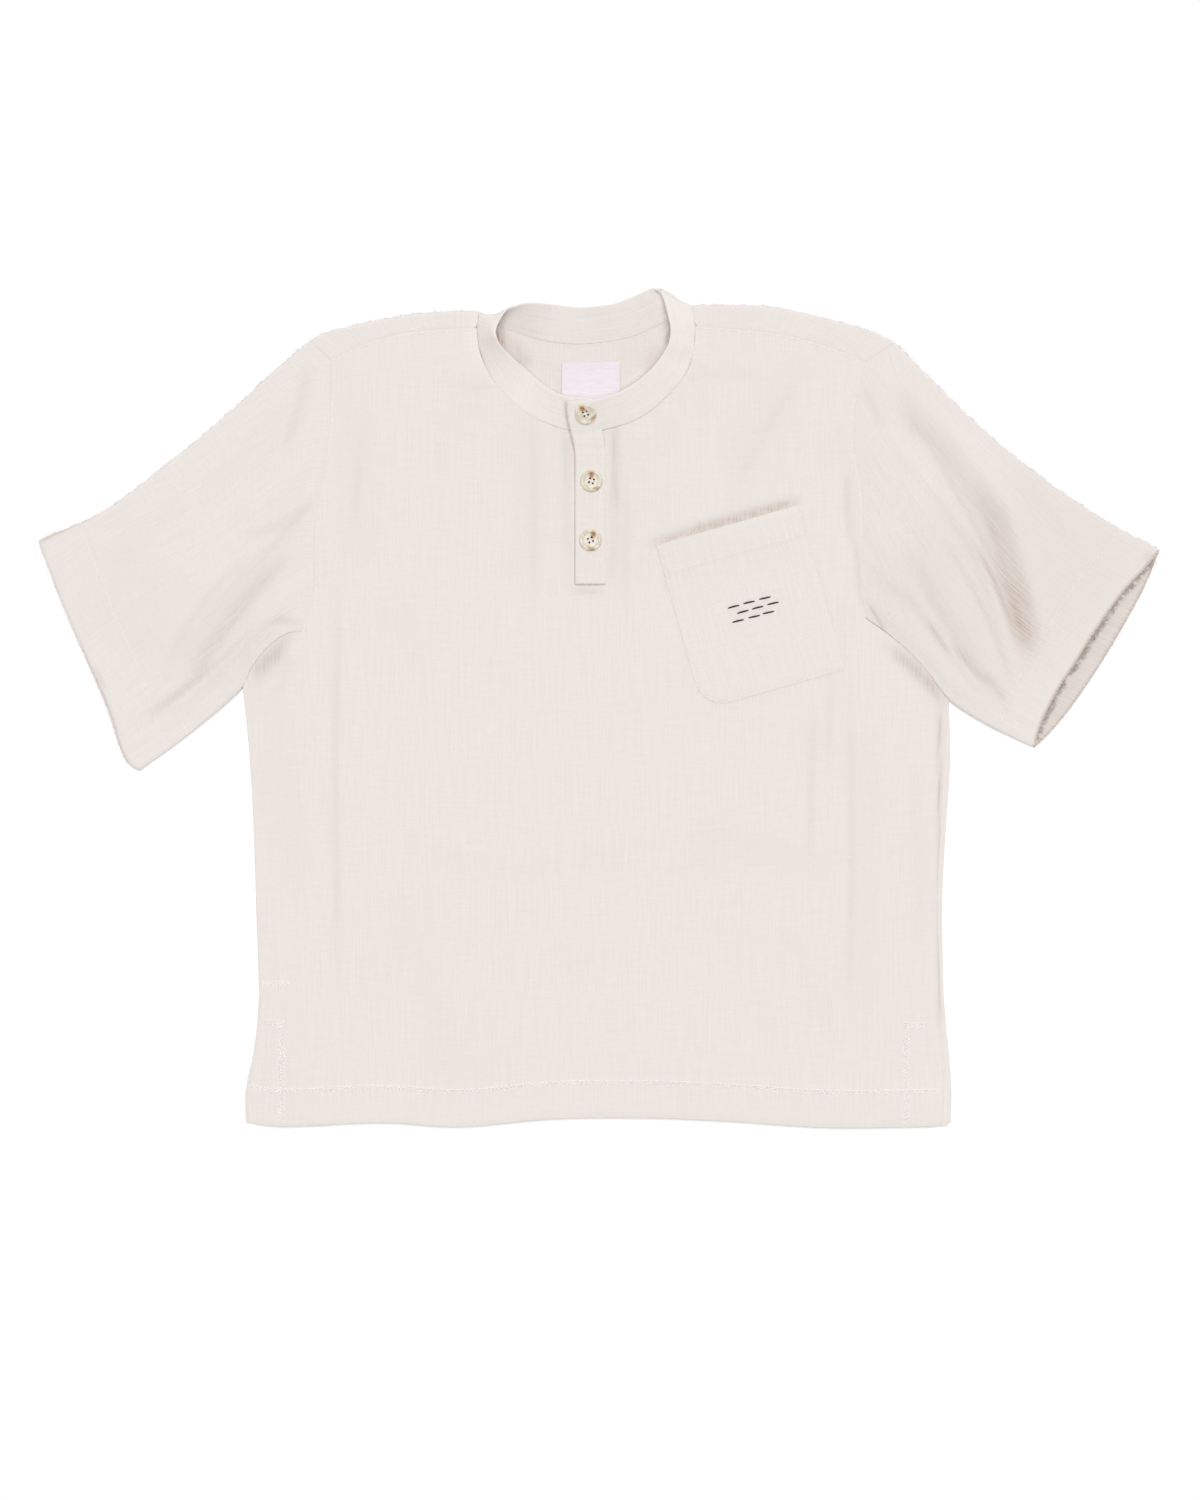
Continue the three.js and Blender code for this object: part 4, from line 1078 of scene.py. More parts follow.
@dataclass
class Sleeve:
    """A short, wide set-in sleeve that lies as a flat tube.

    s runs from the armhole seam to the cuff, and t from the upper fold to the lower one.
    """

    name: str
    side: int  # -1 is the viewer's left
    armhole: Table
    upper: Table
    lower: Table
    front: Table  # the cuff's edge on the upper layer
    back: Table  # and on the layer under it
    underarm: float  # share of the lower fold that lies along the body
    creases: Table
    shades: Table
    mouth: float  # how dark the painted shade is along the edge of its upper layer
    crinkle: Crinkle
    area: float
    flat: tuple[float, float] = (452.0, 282.0)  # of the cut, round the tube and along it

    LAYER = 80  # columns across one layer
    CORNER = 0.1  # share of them along the forward shoulder
    TURN = 10  # columns round a folded edge
    HEM_EDGE = 0.0022
    MOUTH_ROWS = 9  # rows at the cuff whose under layer gets a share of the mouth's painted shade
    BUNCH = 40.0  # width over which the fuller lower fold sinks to the layer
    FLAT = 12.0  # from a folded edge to where the creases have their full height
    RUN = 278.0  # mm along the sleeve, for what is placed by its distance from the hem
    SEAM_RUN = 270.0  # and for what lies beside the armhole
    STITCHED = 2.4  # mm from the hem's edge to its stitches

    def __post_init__(self) -> None:
        """Draws the curves of the outline."""
        self.sewn_line, self.upper_line, self.lower_line = (
            Line(rows) for rows in (self.armhole, self.upper, self.lower)
        )
        self.front_line, self.back_line = Line(self.front), Line(self.back)
        self.span = float(np.linalg.norm(np.subtract(self.upper[0], self.upper[-1])))
        self.hem = 1 - HEM_DEPTH / self.span
        self.corner = float(self.layer(np.array(0.0), np.array(self.CORNER)))
        self.all_creases = creases(self.creases) + self.crinkle.creases()

    def width(self, s: Array) -> Array:
        """From fold to fold, at a share of the sleeve's length."""
        return np.linalg.norm(self.upper_line.at(s) - self.lower_line.at(s), axis=-1)

    def low(self, s: Array) -> Array:
        """The lower fold's radius, fuller past the underarm, where the cloth bunches."""
        past = smooth((s - self.underarm + 0.05) / 0.15)
        return ROLL + 0.9 * past * (1 - smooth((s - self.underarm - 0.1) / 0.35))

    def flattened(self, s: Array) -> Array:
        """How far the lower fold's turn reaches inwards, in shares of its radius."""
        return lerp(0.25, 1.0, smooth((s - self.underarm + 0.06) / 0.12))

    def layer(self, s: Array, q: Array) -> Array:
        """t at a share q of a flat layer, between its two folded edges."""
        width = self.width(s)
        return lerp(ROLL / width, 1 - self.low(s) * self.flattened(s) / width, q)

    def even(self, s: Array, t: Array) -> Array:
        """s drawn in past the underarm, so that the hem is as deep at the short lower fold."""
        depth = 1 - HEM_DEPTH / lerp(self.span, self.lower_line.length, t)
        share = (s - self.underarm) / (self.hem - self.underarm)
        before = lerp(self.underarm, depth, share)
        after = 1 - (1 - s) * (1 - depth) / (1 - self.hem)
        return np.where(s < self.underarm, s, np.where(s < self.hem, before, after))

    def seam(self, t: Array) -> Array:
        """The armhole seam in plan: along the forward shoulder, then down the armhole."""
        shoulder = np.array(self.upper[0], float)
        first = np.array(self.armhole[0], float)
        over = lerp(shoulder, first, np.clip(t / self.corner, 0, 1)[..., None])
        down = self.sewn_line.at((t - self.corner) / (1 - self.corner))
        return np.where((t < self.corner)[..., None], over, down)

    def plan(self, s: Array, t: Array, up: Array) -> Array:
        """A point of the sleeve in plan.

        The four edges are blended: seam to cuff along s, plus fold to fold along t, less
        the plain blend of the four corners.

        Args:
            s: Share from armhole to cuff.
            t: Share from the upper fold to the lower.
            up: 0 on the lower layer to 1 on the upper.

        Returns:
            Plan points.
        """
        s = self.even(s, t)
        s3, t3 = s[..., None], t[..., None]
        cuff = lerp(self.back_line.at(t), self.front_line.at(t), up[..., None])
        folds = lerp(self.upper_line.at(s), self.lower_line.at(s), t3)
        shoulder, foot = (np.array(r[0], float) for r in (self.upper, self.lower))
        tip, end = (np.array(r[-1], float) for r in (self.upper, self.lower))
        corners = lerp(lerp(shoulder, foot, t3), lerp(tip, end, t3), s3)
        return lerp(self.seam(t), cuff, s3) + folds - corners

    def place(self, s: Array, t: Array, up: Array, z: Array, loose: Array) -> Array:
        """A point of the sleeve's outer face: its plan, and its height with the creases."""
        plan = self.plan(s, t, up)
        in_hem = smooth((s - self.hem + self.HEM_EDGE) / (2 * self.HEM_EDGE))
        held = smooth(s / 0.1) * lerp(1.0, 0.6, in_hem)
        fold = relief(self.all_creases, plan[..., 0], plan[..., 1]) * loose * held
        valley = 0.2 * bell(s * self.SEAM_RUN, 2.6) * up  # where the armhole seam pulls in
        pulled = 0.2 * bell((s - self.hem) * self.RUN + 2.2, 1.5) * up  # by the hem's stitches
        return raised(plan, z + fold + HEM_STEP * up * in_hem - valley - pulled)

    def upper_face(self, s: Array, q: Array) -> Array:
        """Points of the upper layer, q being the share from its upper fold."""
        t = self.layer(s, q)
        wide = self.width(s)
        from_lower = (1 - t) * wide - self.low(s) * self.flattened(s)
        bunched = (2 * self.low(s) - TOP) * (1 - smooth(from_lower / self.BUNCH))
        loose = smooth((t * wide - ROLL) / self.FLAT) * smooth(from_lower / self.FLAT)
        return self.place(s, t, np.ones_like(t), TOP + bunched, loose)

    def shares(self) -> Array:
        """Rows along the sleeve: to the underarm, to the hem, and across the hem."""
        hem, edge = self.hem, self.HEM_EDGE
        parts = ((0, 0.02, 5), (0.02, self.underarm, 34), (self.underarm, hem - edge, 42))
        rows = [np.linspace(*part) for part in parts]
        return np.concatenate([rows[0][:-1], rows[1][:-1], rows[2], np.linspace(hem + edge, 1, 14)])

    def build(self) -> Object:
        """Lays out the tube: under layer, upper fold, upper layer and lower fold."""
        s = self.shares()[:, None]
        wide = self.width(s)
        q = np.linspace(0, 1, self.LAYER + 1)[None, :]
        angle = np.linspace(-np.pi / 2, np.pi / 2, self.TURN + 1)[None, 1:-1]
        flat = np.zeros((len(s), 1))

        under_t = self.layer(s, q[:, ::-1])
        under = self.place(s + 0 * under_t, under_t, 0 * under_t, 0 * under_t, 0 * under_t)
        over = self.upper_face(s + 0 * q, q + flat)

        def turn(radius: Array, low: bool) -> Array:
            """A folded edge: a half circle of this radius."""
            bend = angle[:, ::-1] if low else angle
            inset = radius * (1 - np.cos(bend)) * (self.flattened(s) if low else 1.0)
            up = (1 + np.sin(bend)) / 2 + 0 * inset
            t = 1 - inset / wide if low else inset / wide
            return self.place(s + 0 * inset, t, up, 2 * radius * up, 0 * inset)

        folds = turn(ROLL + flat, False), turn(self.low(s), True)
        ring = np.concatenate([under, folds[0], over, folds[1], under[:, :1]], axis=1)
        if self.side < 0:
            ring = ring[:, ::-1]
        across = run(ring, 1)
        in_hem = smooth((s - self.hem) / (2 * self.HEM_EDGE))
        upper = ring[..., 2] > ROLL - 1
        # Painted shade: the deeper troughs and the sleeve's own shades on the upper layer, then the
        # cuff's mouth: a share of its tone on the under layer near the cuff, and its full tone along
        # the edge.
        shade_paint = painted_shade(self.creases, self.shades, ring[..., 0], ring[..., 1]) * upper
        cuff = np.s_[-self.MOUTH_ROWS :]
        shade_paint[cuff] = np.where(upper[cuff], shade_paint[cuff], 0.4 * self.mouth)
        shade_paint[-1] = np.where(upper[-1], np.maximum(shade_paint[-1], self.mouth), self.mouth)
        cut = stack(across, s * self.flat[1])
        wall, bulge = lerp(CLOTH, HEM_CLOTH, in_hem), np.where(s > 0.99, 0.7, 0.0)
        return Cloth("cloth_" + self.name).grid(ring, cut, wall, bulge, painted_shading=shade_paint).shell()

    def stitch_path(self) -> Array:
        """The hem's stitch line on the upper layer."""
        q = np.linspace(0.0, 1, 140)
        return self.upper_face(np.full_like(q, self.hem - self.STITCHED / self.RUN), q)

    def cuff_edge(self, q: Array) -> tuple[Array, Array]:
        """The cuff's lower and upper edges, for the fibres that stand out of them."""
        s = np.ones_like(q)
        t = self.layer(s, q)
        zero = 0 * t
        return self.place(s, t, zero, zero, zero), self.upper_face(s, q)

    def dress(self, wardrobe: Wardrobe) -> None:
        obj = finish(self.build(), Slot.GAUZE, [wardrobe.gauze, wardrobe.inside], self.name)
        thread = sew("stitches_" + self.name, FLAT_SEAM, [self.stitch_path()], wardrobe.thread)


LEFT_SLEEVE = Sleeve(
    name="sleeve_left",
    side=-1,
    armhole=((-222, 289), (-224, 222), (-235, 150), (-237, 91), (-245, 63)),
    upper=((-240, 304), (-264, 283.5), (-314, 238), (-363, 198), (-413, 161.5), (-464, 139)),
    lower=((-245, 63), (-259, 61), (-276, 48), (-288, 32), (-295, 17), (-339, -22), (-380, -52)),
    front=((-464, 139), (-438, 72.5), (-406, 2), (-390, -44), (-380, -52)),
    back=((-464, 139), (-438, 72.5), (-408, 1), (-391, -44), (-380, -52)),
    underarm=0.395,
    creases=LEFT_FOLDS,
    shades=LEFT_SHADES,
    mouth=0.12,
    crinkle=Crinkle(11, 70, (-420, 10, -250, 280), (-0.78, -0.62), (25, 80)),
    area=96500.0,
)
RIGHT_SLEEVE = Sleeve(
    name="sleeve_right",
    side=1,
    armhole=((222, 287), (212, 232), (220, 172), (220, 120), (222, 74)),
    upper=((247, 303), (275.5, 273.5), (325, 226), (375, 186), (425, 153), (466, 131)),
    lower=((222, 74), (238, 63), (256, 48), (273, 30), (293, 5), (325, -15.5), (362, -33)),
    front=(
        (466, 131), (453, 115), (438, 99), (424, 80.5), (410, 60), (396, 37.5), (383, 17.5),
        (373, -1), (365, -20), (362, -33),
    ),
    back=((466, 131), (450, 94), (408, 23), (379, -16), (362, -33)),
    underarm=0.545,
    creases=RIGHT_FOLDS,
    shades=RIGHT_SHADES,
    mouth=0.55,
    crinkle=Crinkle(12, 110, (235, 0, 400, 270), (0.56, -0.83), (35, 110)),
    area=97500.0,
)
SLEEVES = {"left": LEFT_SLEEVE, "right": RIGHT_SLEEVE}


# Body panels


SIDE_ROWS = 78  # rows of a body panel up its side seam
UNDERARM_ROWS = 18  # along the sleeve's lower fold
ARMHOLE_ROWS = 50  # up the armhole
HEM_ROWS = 10  # in its hem


def body_edge(name: str, inset: tuple[float, ...], clear: float) -> Array:
    """The edge of a body panel on one side, from the hem to the end of the shoulder seam.

    The side seam is the panel's own; above it the edge follows the sleeve.

    Args:
        name: left or right.
        inset: How far inside the shirt's edge it lies, at each of the side's heights.
        clear: A further gap, all along the side seam.

    Returns:
        Plan points, one for each row of the panel.
    """
    sleeve = SLEEVES[name]
    fold = sleeve.lower_line.at(np.linspace(sleeve.underarm, 0, UNDERARM_ROWS + 1))
    armhole = sleeve.seam(np.linspace(1, sleeve.corner, ARMHOLE_ROWS + 1)[1:])
    sewn = aside(np.vstack([fold, armhole]), sleeve.side * SEAM)
    x = np.array(SIDE_EDGE[name]) - sleeve.side * (np.array(inset) + clear)
    own = np.stack([x, np.array(SIDE_HEIGHTS)], axis=1)
    seam_line = Line(np.vstack([own, sewn[:1]]))
    hem = HEM_DEPTH / seam_line.length
    step = 0.5 / seam_line.length
    in_hem = np.linspace(0, hem - step, HEM_ROWS)
    above = np.linspace(hem + step, 1, SIDE_ROWS - HEM_ROWS, endpoint=False)
    return np.vstack([seam_line.at(np.concatenate([in_hem, above])), sewn])


HEM_LINE = Line(HEM)
EVEN = 0.55  # how evenly the columns are spaced along the hem
SIDEWAYS = 3  # how fast the side edges' shape dies away
UPWARDS = 4  # and that of the top line and the hem
LEAST_STEP = 0.1  # between two columns, also where they crowd beside the neck


def hem_height(x: Array) -> Array:
    """How high the hem's edge lies at each x."""
    return HEM_LINE.at((x - HEM[0][0]) / (HEM[-1][0] - HEM[0][0]))[..., 1]


def column_feet(top: Array, left: float, right: float) -> Array:
    """Where a run of columns meets the hem: spread evenly, drawn towards its top's x."""
    even = np.linspace(0, 1, len(top))
    above = (top[:, 0] - top[0, 0]) / (top[-1, 0] - top[0, 0])
    return lerp(left, right, lerp(above, even, EVEN))


def body_plan(top: Array, left: Array, right: Array, feet: Array) -> Array:
    """A body panel in plan, between its top line, its side edges and the hem.

    Rows run straight from edge to edge. A point lies between its column's foot and top,
    plus what the side edges bulge from a straight line, dying away as a cube; the top line
    and the hem are blended in as fourth powers of the share upwards and downwards.

    Args:
        top: The top line's points, one a column.
        left: The left edge's points, one a row.
        right: The right edge's.
        feet: The x of each column at the hem.

    Returns:
        Rows by columns by 2.
    """
    share = ((feet - feet[0]) / (feet[-1] - feet[0]))[None, :]
    level = smooth(share)
    foot = stack(feet, hem_height(feet))
    height = (left[:, 1] + right[:, 1]) / 2
    v = ((height - height[0]) / (height[-1] - height[0]))[:, None]
    level_top = lerp(top[0, 1], top[-1, 1], level)
    level_foot = lerp(foot[0, 1], foot[-1, 1], level)
    left_bulge = left[:, :1] - lerp(foot[0, 0], top[0, 0], v)
    right_bulge = right[:, :1] - lerp(foot[-1, 0], top[-1, 0], v)
    x = lerp(foot[None, :, 0], top[None, :, 0], v)
    x = x + left_bulge * (1 - share) ** SIDEWAYS + right_bulge * share**SIDEWAYS
    spaced = np.arange(len(feet)) * LEAST_STEP
    x = np.maximum.accumulate(x - spaced, axis=1) + spaced
    y = lerp(left[:, 1:], right[:, 1:], level)
    y = y + (top[None, :, 1] - level_top) * v**UPWARDS
    y = y + (foot[None, :, 1] - level_foot) * (1 - v) ** UPWARDS
    plan = stack(x, y)
    plan[0], plan[-1] = foot, top
    plan[:, 0], plan[:, -1] = left, right
    return plan


def panel_hem(plan: Array) -> tuple[Array, Array]:
    """1 in a body panel's hem and 0 above it, and how far its free edges round out."""
    hem = np.zeros(plan.shape[:2])
    hem[:HEM_ROWS] = 1.0
    bulge = 0.8 * (np.arange(len(plan)) == 0)[:, None] * np.ones(plan.shape[1])
    bulge[: HEM_ROWS + 14, [0, -1]] = 0.6
    return hem, bulge


@dataclass
class FrontPanel:
    """The front: one panel from the hem to the shoulder seams, with the placket's slit."""

    slit: tuple[float, float, float] = (-13.0, -2.0, 108.0)  # left, right, foot
    slit_top: float = 228.3
    side_edge: float = 22.0  # over which the panel comes down to its side seams
    vent_left: tuple[float, float] = (-260.0, -259.0)  # inner edge of the facing, its top
    vent_right: tuple[float, float] = (253.0, -261.0)
    foot: float = -346.0  # where the stitches beside the vents end
    facing_width: float = 19.0
    hem_row: float = 1.15  # between two rows of the hem's stitches
    vent_rows: Row = (0.0, 1.3, 2.6, 3.9)  # of stitches, outwards from a facing's edge
    tack: Row = (-279.0, -256.0, -228.0)  # on the left side: from, to and height
    beside: float = 2.2  # from a seam to its topstitching
    flat: tuple[float, float] = (585.0, 664.0)
    area: float = 327000.0
    creases: Table = FRONT_FOLDS
    shades: Table = FRONT_SHADES
    crinkle: Crinkle = Crinkle(7, 330, (-285, -345, 280, 250))

    def __post_init__(self) -> None:
        """Works out the panel's edges, and its creases all together."""
        self.left = body_edge("left", FRONT_INSET["left"], SEAM)
        self.right = body_edge("right", FRONT_INSET["right"], 0.0)
        self.all_creases = creases(self.creases) + self.crinkle.creases()

    def face(self, x: Array, y: Array) -> Array:
        """The outer face away from the panel's edges."""
        return TOP + relief(self.all_creases, x, y)

    def inside(self, x: Array, y: Array) -> Array:
        """How far a plan point lies inside the nearer side edge."""
        left = np.interp(y, self.left[:, 1], self.left[:, 0])
        right = np.interp(y, self.right[:, 1], self.right[:, 0])
        return np.minimum(x - left, right - x)

    def height(self, x: Array, y: Array, hem: Array | float = 0.0) -> Array:
        """The outer face everywhere: it comes down to the back along its side seams.

        Args:
            x: Plan points.
            y: Plan points.
            hem: 1 in the hem, 0 above it.

        Returns:
            Heights above the floor.
        """
        sewn = smooth((y - self.left[SIDE_ROWS, 1] + 12) / 24.0)
        down = (1 - smooth(self.inside(x, y) / self.side_edge)) * (1 - sewn)
        wall = lerp(CLOTH, HEM_CLOTH, hem)
        return lerp(self.face(x, y) + HEM_STEP * hem + self.facing(x, y), 2 * wall + LAY, down)

    def facing(self, x: Array, y: Array) -> Array:
        """The side vents' facings, which stand a little proud as the hem does."""
        left = smooth((self.vent_left[0] - x) / 1.6) * smooth((self.vent_left[1] - y) / 2)
        right = smooth((x - self.vent_right[0]) / 1.6) * smooth((self.vent_right[1] - y) / 2)
        return 0.3 * (left + right)

    def top_line(self) -> tuple[Array, Array, tuple[int, int]]:
        """The top edge, its columns' feet, and the two columns of the slit."""
        seam = {}
        for name in SLEEVES:
            points = Line(SHOULDER_SEAM[name]).at(np.linspace(0, 1, 58))
            seam[name] = points - [0, SEAM]
        down = neckline(Neck.SEAM_LEFT, Neck.UNDER_END, 58)
        up = neckline(Neck.OVER_END, Neck.SEAM_RIGHT, 66)
        slit_x = np.linspace(self.slit[0], self.slit[1], 6)
        slit = stack(slit_x, self.slit_top)
        self.left[-1, 1] = seam["left"][0, 1]
        self.right[-1, 1] = seam["right"][0, 1]
        before = np.vstack([self.left[-1:], seam["left"][1:-1], down, slit[:1]])
        after = np.vstack([slit[-1:], up, seam["right"][1:-1][::-1], self.right[-1:]])
        feet_before = column_feet(before, self.left[0, 0], self.slit[0])
        feet_after = column_feet(after, self.slit[1], self.right[0, 0])
        top = np.vstack([before, slit[1:-1], after])
        feet = np.concatenate([feet_before, slit_x[1:-1], feet_after])
        first = len(before) - 1
        return top, feet, (first, first + 5)

    def build(self) -> Object:
        """Lays out the panel and cuts the slit."""
        top, feet, slit = self.top_line()
        plan = body_plan(top, self.left, self.right, feet)
        hem, bulge = panel_hem(plan)
        x, y = plan[..., 0], plan[..., 1]
        pulled = 0.15 * bell(y - hem_height(x) - HEM_DEPTH + self.beside, 1.5)
        z = self.height(x, y, hem) - self.seam_valley(plan) - pulled
        keep = np.ones((plan.shape[0] - 1, plan.shape[1] - 1), bool)
        keep[:, slit[0] : slit[1]] = y[:-1, slit[0] : slit[1]] < self.slit[2]
        wall = lerp(CLOTH, HEM_CLOTH, hem)
        # Painted shade of the deeper troughs, and of the front's own shades at the pocket's mouth and
        # the underarms.
        shade_paint = painted_shade(self.creases, self.shades, x, y)
        return Cloth("cloth_front").grid(raised(plan, z), plan, wall, bulge, keep, shade_paint).shell()

    def seam_valley(self, plan: Array) -> Array:
        """How far the cloth is drawn down beside its seams at the top and the armholes."""
        first = SIDE_ROWS + UNDERARM_ROWS + 4
        edge = np.vstack([plan[first:, 0], plan[-1], plan[first:, -1]])
        points = plan[first:].reshape(-1, 1, 2)
        nearest = np.full(len(points), np.inf)
        for share in (0.0, 0.25, 0.5, 0.75):
            between = lerp(edge[:-1], edge[1:], share)[None]
            away = np.hypot(*np.moveaxis(points - between, -1, 0)).min(axis=1)
            nearest = np.minimum(nearest, away)
        valley = np.zeros(plan.shape[:2])
        fade = smooth(np.arange(len(plan) - first) / 8)[:, None]
        valley[first:] = 0.14 * bell(nearest, 2.4).reshape(plan[first:].shape[:2]) * fade
        return valley

    def on_face(self, x: Array, y: Array) -> Array:
        """Points on the outer face above plan points."""
        x, y = np.broadcast_arrays(x, y)
        hem = (y < hem_height(x) + HEM_DEPTH).astype(float)
        return stack(x, y, self.height(x, y, hem))

    def stitch_paths(self) -> list[Array]:
        """The topstitched shoulder seams."""
        paths = []
        for name in SLEEVES:
            seam = Line(SHOULDER_SEAM[name]).at(np.linspace(0.02, 0.98, 120))
            paths.append(self.on_face(seam[:, 0], seam[:, 1] - self.beside))
        return paths

    def hem_paths(self) -> list[Array]:
        """Close rows along the hem, round the vents' facings and on the left side's tack."""
        paths = []
        for row in range(3):
            # Each row starts a third of a stitch further on, so that they close up.
            x = np.linspace(self.left[0, 0] + 3, self.right[0, 0] - 5, 400) + row
            paths.append(self.on_face(x, hem_height(x) + HEM_DEPTH - 0.9 - self.hem_row * row))
        for inner, top in (self.vent_left, self.vent_right):
            side = math.copysign(1.0, inner)
            for row in self.vent_rows:
                edge = inner + (1.0 + row) * side
                up = np.linspace(self.foot, top - 1 - row, 60) + row / 2
                across = np.linspace(edge, inner + self.facing_width * side, 20)
                paths += [self.on_face(edge, up), self.on_face(across, top - 1 - row)]
        start, end, height = self.tack
        tack = np.linspace(start, end, 20)
        return paths + [self.on_face(tack, height - row) for row in self.vent_rows[:3]]

    def neck_path(self) -> list[Array]:
        """Fine stitches beside the armholes, and beside the collar up to the placket."""
        paths = []
        for sleeve in SLEEVES.values():
            armhole = sleeve.seam(np.linspace(sleeve.corner + 0.02, 0.96, 200))
            moved = aside(armhole, -self.beside * sleeve.side)
            paths.append(self.on_face(moved[:, 0], moved[:, 1]))
        sides = ((Neck.SEAM_LEFT, Neck.UNDER_END, -2.0), (Neck.SEAM_RIGHT, Neck.OVER_END, 2.0))
        for start, end, away in sides:
            moved = aside(neckline(start, end, 160), away)
            moved = moved[(moved[:, 0] < -22) | (moved[:, 0] > 8)]
            paths.append(self.on_face(moved[:, 0], moved[:, 1]))
        return paths

    def dress(self, wardrobe: Wardrobe) -> None:
        obj = finish(self.build(), Slot.GAUZE, [wardrobe.gauze, wardrobe.inside], "front")
        threads = (
            sew("stitches_front", FLAT_SEAM, self.stitch_paths(), wardrobe.thread),
            sew("stitches_hem", CLOSE_ROWS, self.hem_paths(), wardrobe.hem_thread),
            sew("stitches_neck", NARROW_SEAM, self.neck_path(), wardrobe.thread),
        )


@dataclass
class BackPanel:
    """The back: it lies flat on the floor, and its shoulders turn forward to a seam."""

    turn: int = 8  # rows round the fold along the shoulder
    strip: int = 7  # rows from the fold to the seam
    columns: tuple[int, int] = (46, 76)  # along a shoulder, along the neck
    flat: tuple[float, float] = (585.0, 716.0)
    area: float = 352000.0
    creases: Table = BACK_FOLDS
    shades: Table = BACK_SHADES
    crinkle: Crinkle = Crinkle(9, 90, (-270, -330, 270, 270), heights=(0.05, 0.2))

    def shoulder(self, name: str) -> tuple[Array, Array]:
        """The fold along the shoulder and the seam in front of it, in plan."""
        q = np.linspace(0, 1, self.columns[0] + 1)
        fold = Line(SHOULDER_FOLD[name]).at(q)
        sewn = Line(SHOULDER_SEAM[name]).at(q)
        ends = np.stack([fold[0], sewn[0]])
        fold[0], sewn[0] = aside(ends, -SLEEVES[name].side * 2 * SEAM)
        return fold, sewn

    def flap(self, name: str) -> Array:
        """The strip that turns over the shoulder: a half circle, then flat to the seam."""
        fold, sewn = self.shoulder(name)
        length = np.linalg.norm(sewn - fold, axis=1)
        angle = np.linspace(-np.pi / 2, np.pi / 2, self.turn + 1)[:, None]
        inset = ROLL * (1 - np.cos(angle)) + 0 * length
        z = ROLL * (1 + np.sin(angle)) + 0 * length
        onward = np.linspace(0, 1, self.strip + 1)[1:, None]
        reach = lerp(ROLL, length - SEAM / 2, onward)
        valley = 0.2 * bell(length - reach, 2.4)
        reach = np.vstack([inset, reach])
        z = np.vstack([z, TOP - valley])
        plan = lerp(fold[None], sewn[None], (reach / length)[..., None])
        return raised(plan, z)

    def build(self) -> Object:
        """Lays out the flat panel and the two flaps."""
        neck = neckline(Neck.BACK_LEFT, Neck.BACK_RIGHT, self.columns[1])
        flaps = {name: self.flap(name) for name in SLEEVES}
        top = np.vstack([flaps["left"][0, :, :2], neck, flaps["right"][0, ::-1, :2]])
        no_inset = (0.0,) * len(SIDE_HEIGHTS)
        left, right = (
            np.vstack([body_edge(name, no_inset, 0.0), top[end]])
            for name, end in (("left", 0), ("right", -1))
        )
        plan = body_plan(top, left, right, column_feet(top, left[0, 0], right[0, 0]))
        hem, bulge = panel_hem(plan)
        x, y = plan[..., 0], plan[..., 1]
        # The underside rests on the floor: only its creases lift off, by half a millimetre.
        lift = relief(creases(self.creases), x, y) + np.abs(relief(self.crinkle.creases(), x, y))
        inside = np.minimum(x - left[:, :1], right[:, :1] - x)
        lift = np.clip(lift, 0, 0.6) * smooth(inside / 25) * (1 - hem)
        lift = lift * smooth((300 - y) / 30)
        # Painted shade of the back's own shades, in the openings beside the collar's ends and near the
        # label.
        shade_paint = painted_shade((), self.shades, x, y)
        wall = lerp(CLOTH, HEM_CLOTH, hem)
        back = np.s_[:, ::-1]
        cloth = Cloth("cloth_back")
        cloth.grid(raised(plan, lift)[back], plan[back], wall, bulge[back], painted_shading=shade_paint[back])
        for name, flap in flaps.items():
            flap = flap[:, ::-1] if name == "left" else flap
            cloth.grid(flap, stack(flap[0, :, 0], flap[0, :, 1] + run(flap)))
        return cloth.shell()

    def dress(self, wardrobe: Wardrobe) -> None:
        obj = finish(self.build(), Slot.GAUZE, [wardrobe.gauze, wardrobe.inside], "back")
        seams = (self.shoulder(name)[1] for name in SLEEVES)
        paths = [raised(seam[2:-2] + [0, 2.0], TOP - 0.1) for seam in seams]
        neck = neckline(Neck.BACK_LEFT, Neck.BACK_RIGHT, 160)
        paths.append(raised(aside(neck, -2.0), CLOTH))
        thread = sew("stitches_back", NARROW_SEAM, paths, wardrobe.thread)


# Collar, plackets, pocket and label


def unit_normals(points: Array) -> Array:
    """Normals of a grid's outer face, from its steps along columns and rows."""
    return unit(np.cross(np.gradient(points, axis=1), np.gradient(points, axis=0)))


